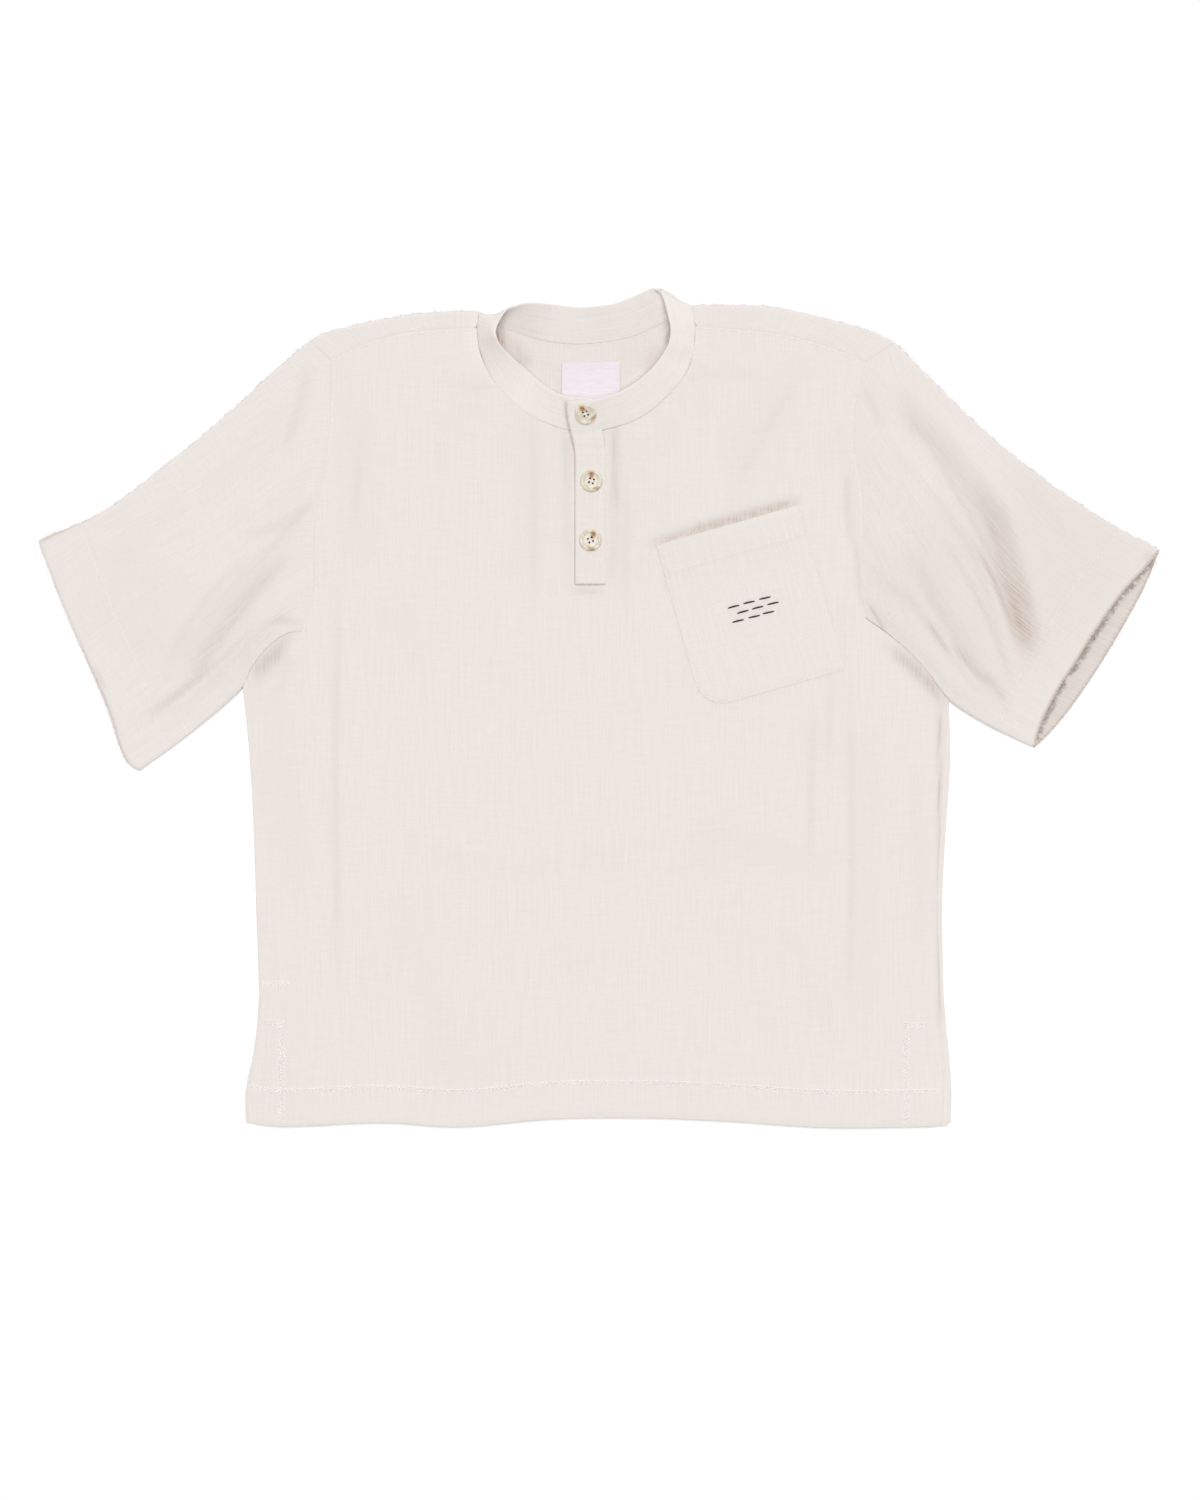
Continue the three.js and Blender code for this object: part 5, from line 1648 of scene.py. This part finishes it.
@dataclass
class StandCollar:
    """A stand band that runs once round the neck, its over end lapping its under end."""

    stations: int = 24 * 12
    rows: int = 18
    length: float = 492.0
    # Along the band: station, height share, spreads along and up, and height in mm.
    dents: Table = (
        (1.6, 0.5, 0.5, 0.6, -0.5), (3.6, 0.6, 0.35, 0.5, 0.5), (5.2, 0.4, 0.3, 0.6, -0.6),
        (9.4, 0.6, 0.4, 0.4, 0.6), (11.2, 0.5, 0.6, 0.5, -0.5), (13.6, 0.55, 0.5, 0.5, 0.5),
        (15.3, 0.5, 0.25, 0.7, -0.9), (15.9, 0.5, 0.2, 0.7, 0.7), (18.8, 0.5, 0.25, 0.7, -0.7),
        (19.4, 0.6, 0.22, 0.6, 0.8), (20.0, 0.5, 0.24, 0.6, -0.8), (20.9, 0.6, 0.35, 0.6, 0.5),
        (22.4, 0.4, 0.4, 0.6, -0.3),
    )

    def face(self) -> Array:
        """The band's outer face: the straight band, dented, and drawn in at its seam."""
        station = np.linspace(0, LAST, self.stations + 1)[:, None]
        up = np.linspace(0, 1, self.rows + 1)[None, :]
        station, up = np.broadcast_arrays(station, up)
        points, _ = collar_face(station, up)
        depth = -0.15 * bell(up * BAND_HEIGHT, 1.8)
        for at, high, along, tall, height in self.dents:
            slanted = station - at - 0.35 * (up - 0.5)
            depth = depth + height * bell(slanted, along) * bell(up - high, tall)
        ends = smooth(np.minimum(station, LAST - station) / 0.5)
        dented = points + unit_normals(points) * (depth * ends)[..., None]
        # No dent may push the band's foot into the surface that the shirt lies on.
        dented[..., 2] = np.maximum(dented[..., 2], 0.0)
        return dented

    def dress(self, wardrobe: Wardrobe) -> None:
        points = self.face()
        rows, columns = points.shape[:2]
        along = np.linspace(0, self.length, rows)[:, None]
        up = np.linspace(0, BAND_HEIGHT, columns)
        bulge = np.zeros((rows, columns))
        bulge[:, -1] = 0.6
        bulge[[0, -1]] = 0.4
        # Painted shade in the band's own folds at the left shoulder, where they take the light from
        # inside it.
        station = along / self.length * LAST
        shade_paint = 0.6 * bell(station - 8.0, 0.5) * bell(up / BAND_HEIGHT, 0.75)
        shade_paint = shade_paint + 0.06 * bell(station - 9.5, 1.2)
        cloth = Cloth("cloth_collar").grid(points, stack(up, along), BAND_CLOTH, bulge, painted_shading=shade_paint)
        obj = finish(cloth.shell(), Slot.GAUZE, [wardrobe.band, wardrobe.inside], "collar")


@dataclass
class Placket:
    """The two strips of the front opening: the one that shows and the button stand."""

    front: FrontPanel
    left: float = -19.0
    right: float = 6.0
    bottom: float = 102.0
    seam: float = 229.0
    top: float = 253.0
    top_left: float = -26.5
    top_right: float = 0.5
    width: float = 25.0
    cloth: float = 1.6
    lean_from: float = 206.0  # above this the strip leans towards the left
    step: tuple[float, float] = (212.0, 224.0)  # where it climbs on to the collar
    creases: Table = PLACKET_FOLDS

    @staticmethod
    def over_end(x: Array, y: Array) -> Array:
        """The face of the collar's over end, as a slope that rises from the neck seam."""
        start, end = COLLAR[-2], COLLAR[-1]
        u = (x - start[0]) / (end[0] - start[0])
        up = np.maximum(0.0, y - lerp(start[1], end[1], u)) * math.tan(BAND_SLOPE)
        return lerp(start[2], end[2], u) + up

    def under(self, x: Array, y: Array) -> Array:
        """What the over placket lies on: the front, then the collar's over end."""
        climb = smooth((y - self.step[0]) / (self.step[1] - self.step[0]))
        return lerp(self.front.face(x, y), self.over_end(x, y), climb)

    def face(self, x: Array, y: Array, across: Array) -> Array:
        """The over placket's outer face, sewn down along its right edge and its foot."""
        sewn = bell((1 - across) * self.width, 2.6)
        foot = bell(y - self.bottom, 2.0)
        buttons = sum(bell(np.hypot(x - b.x, y - b.y), 11.0) for b in BUTTONS)
        pulled = 1.25 * sewn + 0.4 * foot + 0.25 * buttons
        lift = relief(creases(self.creases), x, y)
        return self.under(x, y) + 1.5 * LAY + self.cloth + lift - pulled

    def grid(self, rows: int, columns: int) -> tuple[Array, Array]:
        """Points of the over placket's outer face, and their places on its cut."""
        y = np.linspace(self.bottom, self.top, rows)[:, None]
        across = np.linspace(0, 1, columns)
        lean = smooth((y - self.lean_from) / (self.top - self.lean_from))
        left = lerp(self.left, self.top_left, lean)
        x = lerp(left, lerp(self.right, self.top_right, lean), across)
        y, across = np.broadcast_arrays(y, across)
        return stack(x, y, self.face(x, y, across)), stack(across * self.width, y)

    def dress(self, wardrobe: Wardrobe) -> None:
        """Builds and finishes both strips."""
        points, cut = self.grid(110, 20)
        wall = self.cloth * (1 - 0.7 * bell(self.width - cut[..., 0], 2.6))
        bulge, shade_paint = np.zeros((2, *points.shape[:2]))
        bulge[[0, -1]] = 0.5
        bulge[:, [0, -1]] = 0.5
        # Painted shade along the strip's free left edge and, darker, along its foot.
        shade_paint[:, 0] = 0.5
        shade_paint[0] = 0.7
        over = Cloth("cloth_placket_over").grid(points, cut, wall, bulge, painted_shading=shade_paint).shell()
        finish(over, Slot.GAUZE, [wardrobe.gauze] * 2, "placket_over")
        # Rows and columns of a finer grid lie 1.3 to 2.5 mm inside the strip's edges.
        fine, _ = self.grid(300, 60)
        seams = [fine[:, 56], fine[6:240, 3], fine[5, 3:57], fine[34, 3:57]]
        thread = sew("stitches_placket", EDGE_SEAM, seams, wardrobe.thread)
        x = np.linspace(self.left, self.right - 2, 12)
        y = np.linspace(self.bottom + 2, self.seam - 4, 50)[:, None]
        under = Cloth("cloth_placket_under")
        under = under.grid(stack(x, y, TOP - CLOTH - self.cloth), stack(x, y)).shell()
        finish(under, Slot.GAUZE, [wardrobe.gauze] * 2, "placket_under")


@dataclass
class Pocket:
    """A patch pocket, turned a little, with one round lower corner and a gaping mouth."""

    front: FrontPanel
    centre: tuple[float, float] = (126.5, 83.1)
    width: float = 122.5
    depth: float = 142.0
    round: float = 24.0  # radius of its lower left corner
    hem: float = 26.0
    gape: float = 2.6  # how far its mouth stands open
    turn: float = 0.276  # radians, anticlockwise
    allowance: float = 9.0  # turned in along the sewn edges
    creases: Table = POCKET_FOLDS

    def plan(self, u: Array, v: Array) -> tuple[Array, Array]:
        """Turns places on the patch, from its lower left corner, into plan points."""
        across, up = u - self.width / 2, v - self.depth / 2
        x = self.centre[0] + across * math.cos(self.turn) - up * math.sin(self.turn)
        y = self.centre[1] + across * math.sin(self.turn) + up * math.cos(self.turn)
        return x, y

    def left_edge(self, v: Array) -> Array:
        """u of the left edge, which goes round the corner on a quarter circle."""
        rise = np.maximum(self.round - v, 0.0)
        return self.round - np.sqrt(np.maximum(self.round**2 - rise**2, 0.0))

    def face(self, u: Array, v: Array) -> Array:
        """Points of the pocket's outer face.

        It lies on the front, lifts towards its mouth as a soft step times sin(pi u), and is
        drawn down where it is sewn.
        """
        x, y = self.plan(u, v)
        in_hem = smooth((v - self.depth + self.hem) / 1.2 + 0.5)
        wall = self.wall(u, v, in_hem)
        opening = smooth((v / self.depth - 0.55) / 0.45)
        lift = self.gape * opening * np.sin(np.pi * np.clip(u / self.width, 0, 1)) ** 0.8
        edge = self.from_edge(u, v)
        turned = 0.25 * (1 - smooth((edge - self.allowance) / 1.5))
        own = relief(creases(self.creases), x, y) * smooth(edge / 12)
        z = self.front.face(x, y) + LAY * 0.6 + wall + lift + turned + own
        return stack(x, y, z)

    def wall(self, u: Array, v: Array, in_hem: Array) -> Array:
        """The patch's thickness, pressed thin along its sewn edges."""
        pressed = 1 - 0.62 * bell(self.from_edge(u, v), 2.6)
        return lerp(CLOTH, 1.7, in_hem) * pressed

    def from_edge(self, u: Array, v: Array) -> Array:
        """How far a place lies inside the nearest sewn edge."""
        corner = self.round - np.hypot(u - self.round, v - self.round)
        in_corner = (u < self.round) & (v < self.round)
        plain = np.minimum(np.minimum(u, self.width - u), v)
        return np.maximum(np.where(in_corner, corner, plain), 0.0)

    def heights(self) -> Array:
        """Rows up the patch: round the corner, up to the hem, and across the hem."""
        edge = self.depth - self.hem
        corner = self.round * (1 - np.cos(np.linspace(0, np.pi / 2, 17)))
        middle = np.linspace(self.round, edge - 0.6, 44)[1:]
        return np.concatenate([corner, middle, np.linspace(edge + 0.6, self.depth, 14)])

    def stitch_paths(self) -> list[Array]:
        """Stitches just inside the sewn edges, and along the hem of the mouth."""
        inset = 2.0
        radius, right, top = self.round - inset, self.width - inset, self.depth - inset
        angle = np.linspace(np.pi, 1.5 * np.pi, 40)
        sides = (
            (np.full(120, inset), np.linspace(top, self.round, 120)),
            (self.round + radius * np.cos(angle), self.round + radius * np.sin(angle)),
            (np.linspace(self.round, right, 110), np.full(110, inset)),
            (np.full(150, right), np.linspace(inset, top, 150)),
        )
        across = np.linspace(inset, right, 120)
        hem = self.face(across, np.full_like(across, self.depth - self.hem + inset))
        return [self.face(*np.concatenate(sides, axis=1)), hem]

    def running_stitches(self) -> tuple[Array, Array]:
        """A plain hand-sewn motif: three short staggered rows of running stitch."""
        length, pitch, row_gap, radius = 9.8, 13.4, 6.2, 0.75
        middle_u, middle_v = 65.0, 69.0
        rng = np.random.default_rng(21)
        q = np.linspace(-0.5, 0.5, 9)
        arch = np.cos(np.pi * q)
        lines = []
        for row, shift in ((-1, -1.0), (0, 0.6), (1, -1.0)):
            centres = (np.arange(3) - 1) * pitch + shift * pitch / 4
            for centre in centres + rng.normal(0, 0.35, 3):
                v = middle_v + row * row_gap + 0.25 * np.sin(q * 3 + centre)
                lines.append(self.face(middle_u + centre + q * length, v))
                lines[-1][:, 2] += 0.15 + 0.25 * arch
        radii = np.broadcast_to(radius * (0.45 + 0.55 * arch**0.5), (len(lines), len(q)))
        return np.array(lines), radii

    def dress(self, wardrobe: Wardrobe) -> None:
        v = self.heights()[:, None]
        u = lerp(self.left_edge(v), self.width, np.linspace(0, 1, 74))
        v = v + 0 * u
        in_hem = (v > self.depth - self.hem).astype(float)
        cloth = Cloth("cloth_pocket").grid(self.face(u, v), stack(u, v), self.wall(u, v, in_hem), 0.25)
        obj = finish(cloth.shell(), Slot.GAUZE, [wardrobe.gauze] * 2, "pocket")
        thread = sew("stitches_pocket", EDGE_SEAM, self.stitch_paths(), wardrobe.thread)
        motif = Tube("running_stitches", 8).sweep(*self.running_stitches())
        finish(motif, Slot.GAUZE, [wardrobe.ink_thread_and_hole_shade])


@dataclass
class NeckLabel:
    """A plain woven tab sewn inside the back of the neck."""

    left: float = -30.0
    right: float = 18.0
    bottom: float = 252.0
    top: float = 285.5
    tilt: float = 1.5
    cloth: float = 1.0

    def face(self, u: Array, v: Array, curl: float) -> Array:
        """Points of its face, which waves, and curls up in the middle of its upper edge."""
        x = lerp(self.left, self.right, u)
        y = lerp(self.bottom, self.top, v) + self.tilt * u
        lift = curl * bell((1 - v) * 33, 4.0) * np.sin(np.pi * u)
        wave = 0.18 * np.sin(u * 7.0 + 1.0) * (1 - v)
        return stack(x, y, CLOTH + LAY + self.cloth + lift + wave + 0.2)

    def dress(self, wardrobe: Wardrobe) -> None:
        size = (self.right - self.left, self.top - self.bottom)
        u, v = np.linspace(0, 1, 40), np.linspace(0, 1, 30)[:, None]
        cloth = Cloth("tape_label")
        cloth.grid(self.face(u, v, 0.35), stack(u * size[0], v * size[1]), 0.7, 0.3)
        obj = finish(cloth.shell(), Slot.TAPE, [wardrobe.tape] * 2, "label")
        row = np.linspace(0.04, 0.96, 40)
        sides = [self.face(edge, row, 0.0) for edge in (0.04, 0.96)]
        thread = sew("stitches_label", LABEL_SEAM, sides, wardrobe.tape, Slot.TAPE)


@dataclass(frozen=True)
class ButtonPlace:
    """Where a button is sewn, and how its mottle is turned."""

    name: str
    x: float
    y: float
    turn: float  # of the holes, in radians
    mottle: float  # of the flecks


BUTTONS = (
    ButtonPlace("button_top", -10.3, 244.0, 1.15, 0.6),
    ButtonPlace("button_middle", -5.4, 188.0, 0.5, 0.1),
    ButtonPlace("button_bottom", -6.2, 139.0, 1.17, -0.4),
)


@dataclass
class Buttons:
    """Four-hole buttons with a raised rim and a dished middle, sewn on with thread."""

    placket: Placket
    radius: float = 9.0
    thick: float = 3.2
    hole: float = 0.85
    hole_out: float = 2.35  # from the middle to a hole
    around: int = 96
    rings: int = 40
    sharp: float = 40.0  # degrees; the holes' edges turn by more
    dish: float = 0.68  # how high the dished middle lies, as a share of the thickness
    # Across half the button: share of the radius and of the thickness.
    profile: Table = (
        (0.0, 0.04), (0.40, 0.0), (0.70, 0.0), (0.88, 0.16), (0.97, 0.38), (1.0, 0.58),
        (0.985, 0.78), (0.94, 0.93), (0.87, 1.0), (0.80, 0.99), (0.73, 0.90), (0.66, 0.76),
        (0.58, 0.70), (0.30, 0.68), (0.0, 0.68),
    )

    def blank(self) -> Object:
        """The turned disc: its profile carried round the axis, with both poles closed."""
        profile = Line(self.profile[1:-1]).at(np.linspace(0, 1, self.rings))
        out, up = np.split(profile * [self.radius, self.thick], 2, axis=1)
        angle = 2 * np.pi * np.arange(self.around) / self.around
        wall = stack(out * np.cos(angle), out * np.sin(angle), up).reshape(-1, 3)
        poles = [[0, 0, row[1] * self.thick] for row in (self.profile[0], self.profile[-1])]
        index = np.arange(len(wall)).reshape(self.rings, self.around)
        turned = np.roll(index, -1, axis=1)
        quads = np.stack([index[:-1], turned[:-1], turned[1:], index[1:]], axis=-1)
        low, high = len(wall), len(wall) + 1
        faces = quads.reshape(-1, 4).tolist() + stack(low, turned[0], index[0]).tolist()
        faces += stack(high, index[-1], turned[-1]).tolist()
        mesh = bpy.data.meshes.new("button_blank")
        mesh.from_pydata((np.vstack([wall, poles]) * MM).tolist(), [], faces)
        return link("button_blank", mesh)

    def pegs(self, low: float, high: float) -> Array:
        """Lines through the four holes, from one height to another."""
        angle = np.pi / 2 * np.arange(4)[:, None]
        return stack(self.hole_out * np.cos(angle), self.hole_out * np.sin(angle), [low, high])

    def drill(self) -> Object:
        """Four pegs, as one mesh, that cut the holes."""
        return Tube("button_drill", 20).sweep(self.pegs(-2.0, 6.0), np.full((4, 2), self.hole))

    def drilled(self) -> Mesh:
        """The disc with its holes, with the cutters cleared away."""
        blank, drill = self.blank(), self.drill()
        cut = blank.modifiers.new("holes", "BOOLEAN")
        cut.operation = "DIFFERENCE"
        cut.object = drill
        cut.solver = "EXACT"
        graph = bpy.context.evaluated_depsgraph_get()
        mesh = bpy.data.meshes.new_from_object(blank.evaluated_get(graph))
        for obj in (blank, drill):
            bpy.data.objects.remove(obj)
        return mesh

    def placed(self, places: Array, place: ButtonPlace) -> Array:
        """Turns and tips a button's points, in millimetres, and sets them in place."""
        on_band = place.y > self.placket.seam
        tip = BAND_SLOPE if on_band else 0.0
        gap = LAY * (4.5 if on_band else 2.5)
        cos, sin = math.cos(place.turn), math.sin(place.turn)
        turned = places @ np.array([[cos, sin, 0], [-sin, cos, 0], [0, 0, 1]])
        cos, sin = math.cos(tip), math.sin(tip)
        tipped = turned @ np.array([[1, 0, 0], [0, cos, sin], [0, -sin, cos]])
        at = np.array([place.x]), np.array([place.y])
        z = float(self.placket.under(*at)[0]) + self.placket.cloth + gap
        return tipped + [place.x, place.y, z]

    def threads(self, place: ButtonPlace) -> Object:
        """Two thick strands that cross in the middle of the button, from hole to hole."""
        q = np.linspace(-1, 1, 11)
        floor = self.dish * self.thick
        lines = []
        for strand in range(2):
            for offset in (-0.28, 0.28):
                angle = strand * np.pi / 2
                out = q * (self.hole_out - 0.9)
                x = out * math.cos(angle) - offset * math.sin(angle)
                y = out * math.sin(angle) + offset * math.cos(angle)
                arch = np.where(np.abs(q) < 0.95, 0.30 + 0.2 * strand, -0.5)
                z = floor + arch - 0.25 * np.abs(q)
                lines.append(self.placed(np.stack([x, y, z], axis=1), place))
        radii = np.full((4, 11), 0.26)
        return Tube("thread_" + place.name, 8).sweep(np.array(lines), radii)

    def hole_shades(self, place: ButtonPlace) -> Object:
        """Dark plugs in the four holes, where the thread runs through: painted shade of the holes."""
        lines = self.pegs(0.1 * self.thick, 0.45 * self.thick)
        placed = self.placed(lines.reshape(-1, 3), place).reshape(lines.shape)
        return Tube("hole_shade_" + place.name, 12).sweep(placed, np.full((4, 2), self.hole - 0.06))

    def dress(self, wardrobe: Wardrobe) -> None:
        """Builds, finishes and places the three buttons."""
        source = self.drilled()
        places = np.zeros(len(source.vertices) * 3, np.float32)
        source.vertices.foreach_get("co", places)
        places = places.reshape(-1, 3) / MM
        loops = np.zeros(len(source.loops), np.int32)
        source.loops.foreach_get("vertex_index", loops)
        for place in BUTTONS:
            mesh = source.copy()
            mesh.name = "horn_" + place.name
            moved = self.placed(places, place)
            mesh.vertices.foreach_set("co", (moved * MM).astype(np.float32).ravel())
            cos, sin = math.cos(place.mottle - place.turn), math.sin(place.mottle - place.turn)
            flat = places[:, :2] @ np.array([[cos, -sin], [sin, cos]])
            layer = mesh.uv_layers.new(name="Face")
            layer.uv.foreach_set("vector", (flat[loops] * MM).astype(np.float32).ravel())
            mesh.update()
            mesh.shade_smooth()
            mesh.set_sharp_from_angle(angle=math.radians(self.sharp))
            obj = link("horn_" + place.name, mesh)
            finish(obj, Slot.HORN, [wardrobe.horn], place.name)
            finish(self.threads(place), Slot.GAUZE, [wardrobe.thread])
            # Painted shade: the holes are darkened by plugs in the motif's black thread.
            finish(self.hole_shades(place), Slot.GAUZE, [wardrobe.ink_thread_and_hole_shade])
        bpy.data.meshes.remove(source)


def plan_normals(path: Array, side: float) -> Array:
    """Unit plan directions square to a path: to its left where side is positive."""
    ahead = unit(np.gradient(path[:, :2], axis=0))
    return stack(-ahead[:, 1], ahead[:, 0]) * side


@dataclass
class LooseFibres:
    """Fine fibres that stand out of the brushed cloth along its cuffs and edges."""

    seed: int = 5
    cuff: tuple[int, int] = (170, 260)  # hairs on a cuff's under and upper edge
    fold: int = 620  # on a sleeve's upper fold
    shoulder: int = 330
    frayed: int = 340  # long ones, in the right cuff's mouth
    reach: float = 1.7
    long_reach: float = 4.4

    def hairs(self, path: Array, outward: Array, count: int, reach: float, z: float) -> Array:
        """Random curved hairs along a path.

        Args:
            path: Points of the edge.
            outward: Plan direction away from the cloth, at each.
            count: How many hairs.
            reach: Their mean length.
            z: How much they rise or fall.

        Returns:
            Count by five points by 3: each leaves outwards and bends aside as a parabola.
        """
        rng = np.random.default_rng(self.seed + count)
        share = rng.uniform(0.01, 0.99, count) * (len(path) - 1)
        at, out = (
            np.stack([np.interp(share, np.arange(len(path)), c) for c in line.T], axis=-1)
            for line in (path, outward)
        )
        along = stack(-out[:, 1], out[:, 0])
        q = np.linspace(0, 1, 5)[None, :, None]
        length = reach * rng.uniform(0.4, 1.6, (count, 1, 1))
        sideways = rng.normal(0, 0.5, (count, 1, 1))
        bend = rng.normal(0, 0.5, (count, 1, 1))
        swing = (sideways * q + bend * q**2) * length
        plan = at[:, None, :2] + out[:, None] * (q - 0.15) * length + along[:, None] * swing
        rise = at[:, None, 2:] + z * q * rng.uniform(-1, 1, (count, 1, 1))
        return np.concatenate([plan, np.maximum(rise, 0.15)], axis=-1)

    def dress(self, wardrobe: Wardrobe) -> None:
        """Builds the fibres of cuffs and shoulders, and the right cuff's frayed edge, drawn darker as
        painted shade.
        """
        groups = []
        for sleeve in SLEEVES.values():
            edges = sleeve.cuff_edge(np.linspace(0, 1, 80))
            for edge, count, higher in zip(edges, self.cuff, (0.7, -0.6)):
                outward = plan_normals(edge, -sleeve.side)
                outward = outward * np.where(outward[:, :1] * sleeve.side > 0, 1, -1)
                groups.append(self.hairs(edge + [0, 0, higher], outward, count, self.reach, 0.7))
            fold = sleeve.upper_line.at(np.linspace(0.0, 1, 120))
            outward = plan_normals(fold, sleeve.side)
            groups.append(self.hairs(raised(fold, ROLL), outward, self.fold, self.reach, 1.2))
        for name, sleeve in SLEEVES.items():
            fold = Line(SHOULDER_FOLD[name]).at(np.linspace(0, 1, 80))
            outward = plan_normals(fold, -sleeve.side)
            outward = outward * np.where(outward[:, 1:] > 0, 1, -1)
            groups.append(self.hairs(raised(fold, ROLL), outward, self.shoulder, self.reach, 1.0))
        # The right cuff's mouth: long fibres in the darker cotton, as painted shade.
        _, edge = RIGHT_SLEEVE.cuff_edge(np.linspace(0.02, 0.99, 80))
        edge, outward = edge - [0, 0, 0.9], plan_normals(edge, 1.0)
        dark = [self.hairs(edge, outward, self.frayed, self.long_reach, 0.6)]
        taper = np.array([0.15, 0.13, 0.11, 0.08, 0.04])
        for name, strands, tone, thick in (
            ("loose_fibres", groups, wardrobe.thread, 1.0),
            ("cuff_fringe_painted_shade", dark, wardrobe.shaded_thread, 2.2),
        ):
            lines = np.vstack(strands)
            radii = np.broadcast_to(taper * thick, lines.shape[:2])
            finish(Tube(name, 3).sweep(lines, radii), Slot.GAUZE, [tone])


@dataclass
class Studio:
    """A white floor, large soft lights and the camera straight above the shirt."""

    frame_height: float = 1245.0  # what the photograph's frame covers from foot to top
    frame_centre: tuple[float, float] = (1.7, -35.3)
    lens: float = 200.0
    sensor: float = 36.0
    face_height: float = 6.0  # the cloth's usual height, at which the scale holds
    walls: float = 0.95
    ceiling: float = 0.24
    key: float = 2.17

    def camera(self) -> None:
        """Sets the camera so that the long side of the frame just covers its size."""
        data = bpy.data.cameras.new("camera")
        data.lens = self.lens
        data.sensor_width = self.sensor
        data.sensor_fit = "AUTO"
        data.clip_start = 0.1
        data.clip_end = 100.0
        obj = link("camera", data)
        distance = self.frame_height * self.lens / self.sensor
        place = (*self.frame_centre, distance + self.face_height)
        obj.location = [value * MM for value in place]
        bpy.context.scene.camera = obj

    def light(self, name: str, place: Row, spread: float, power: float) -> None:
        """Shines one broad, even light from far away, as a large softbox gives.

        Args:
            name: What it is called.
            place: Which way it comes from, as seen from the shirt's middle.
            spread: The angle that it fills, in degrees.
            power: Its strength on a surface that faces it.
        """
        data = bpy.data.lights.new(name, "SUN")
        data.angle = math.radians(spread)
        data.energy = power
        obj = link(name, data)
        obj.location = place
        obj.rotation_euler = Vector(place).to_track_quat("Z", "Y").to_euler()

    def build(self, wardrobe: Wardrobe) -> None:
        """Makes the floor, the lights, the sky and the camera."""
        side = 3000.0
        corners = np.array([[-side, -side], [side, -side], [side, side], [-side, side]])
        places = np.column_stack([corners, np.full(4, -0.05)])
        floor = make_mesh("floor", places, np.array([[0, 1, 2, 3]]))
        floor.data.materials.append(wardrobe.paper)
        floor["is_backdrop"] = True
        world = bpy.data.worlds.new("studio")
        world.use_nodes = True
        tree = world.node_tree
        background = tree.nodes["Background"]
        background.inputs["Color"].default_value = linear("#ffffff")
        # White walls all round are brighter than the ceiling.
        way = node(tree, "TexCoord").outputs["Generated"]
        height = node(tree, "SeparateXYZ", inputs={0: way}).outputs["Z"]
        reach = {"From Min": 0.1, "From Max": 0.65, "To Min": self.walls, "To Max": self.ceiling}
        smoothly = {"interpolation_type": "SMOOTHSTEP"}
        glow = node(tree, "MapRange", smoothly, {"Value": height, **reach})
        tree.links.new(glow.outputs[0], background.inputs["Strength"])
        bpy.context.scene.world = world
        self.light("key_softbox", (0.03, 0.14, 1.0), 40.0, self.key)
        self.camera()
        view = bpy.context.scene.view_settings
        view.view_transform = "Standard"
        view.exposure = 0.0


def main() -> None:
    """Builds the shirt, piece by piece, and the studio round it."""
    wardrobe = Wardrobe()
    Studio().build(wardrobe)
    front = FrontPanel()
    placket = Placket(front)
    BackPanel().dress(wardrobe)
    front.dress(wardrobe)
    for sleeve in SLEEVES.values():
        sleeve.dress(wardrobe)
    StandCollar().dress(wardrobe)
    placket.dress(wardrobe)
    Pocket(front).dress(wardrobe)
    NeckLabel().dress(wardrobe)
    Buttons(placket).dress(wardrobe)
    LooseFibres().dress(wardrobe)
    sizes = {"cad": CAD_BOX, "visual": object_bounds()}
    as_lists = {name: [list(corner) for corner in box] for name, box in sizes.items()}


if __name__ == "__main__":
    main()
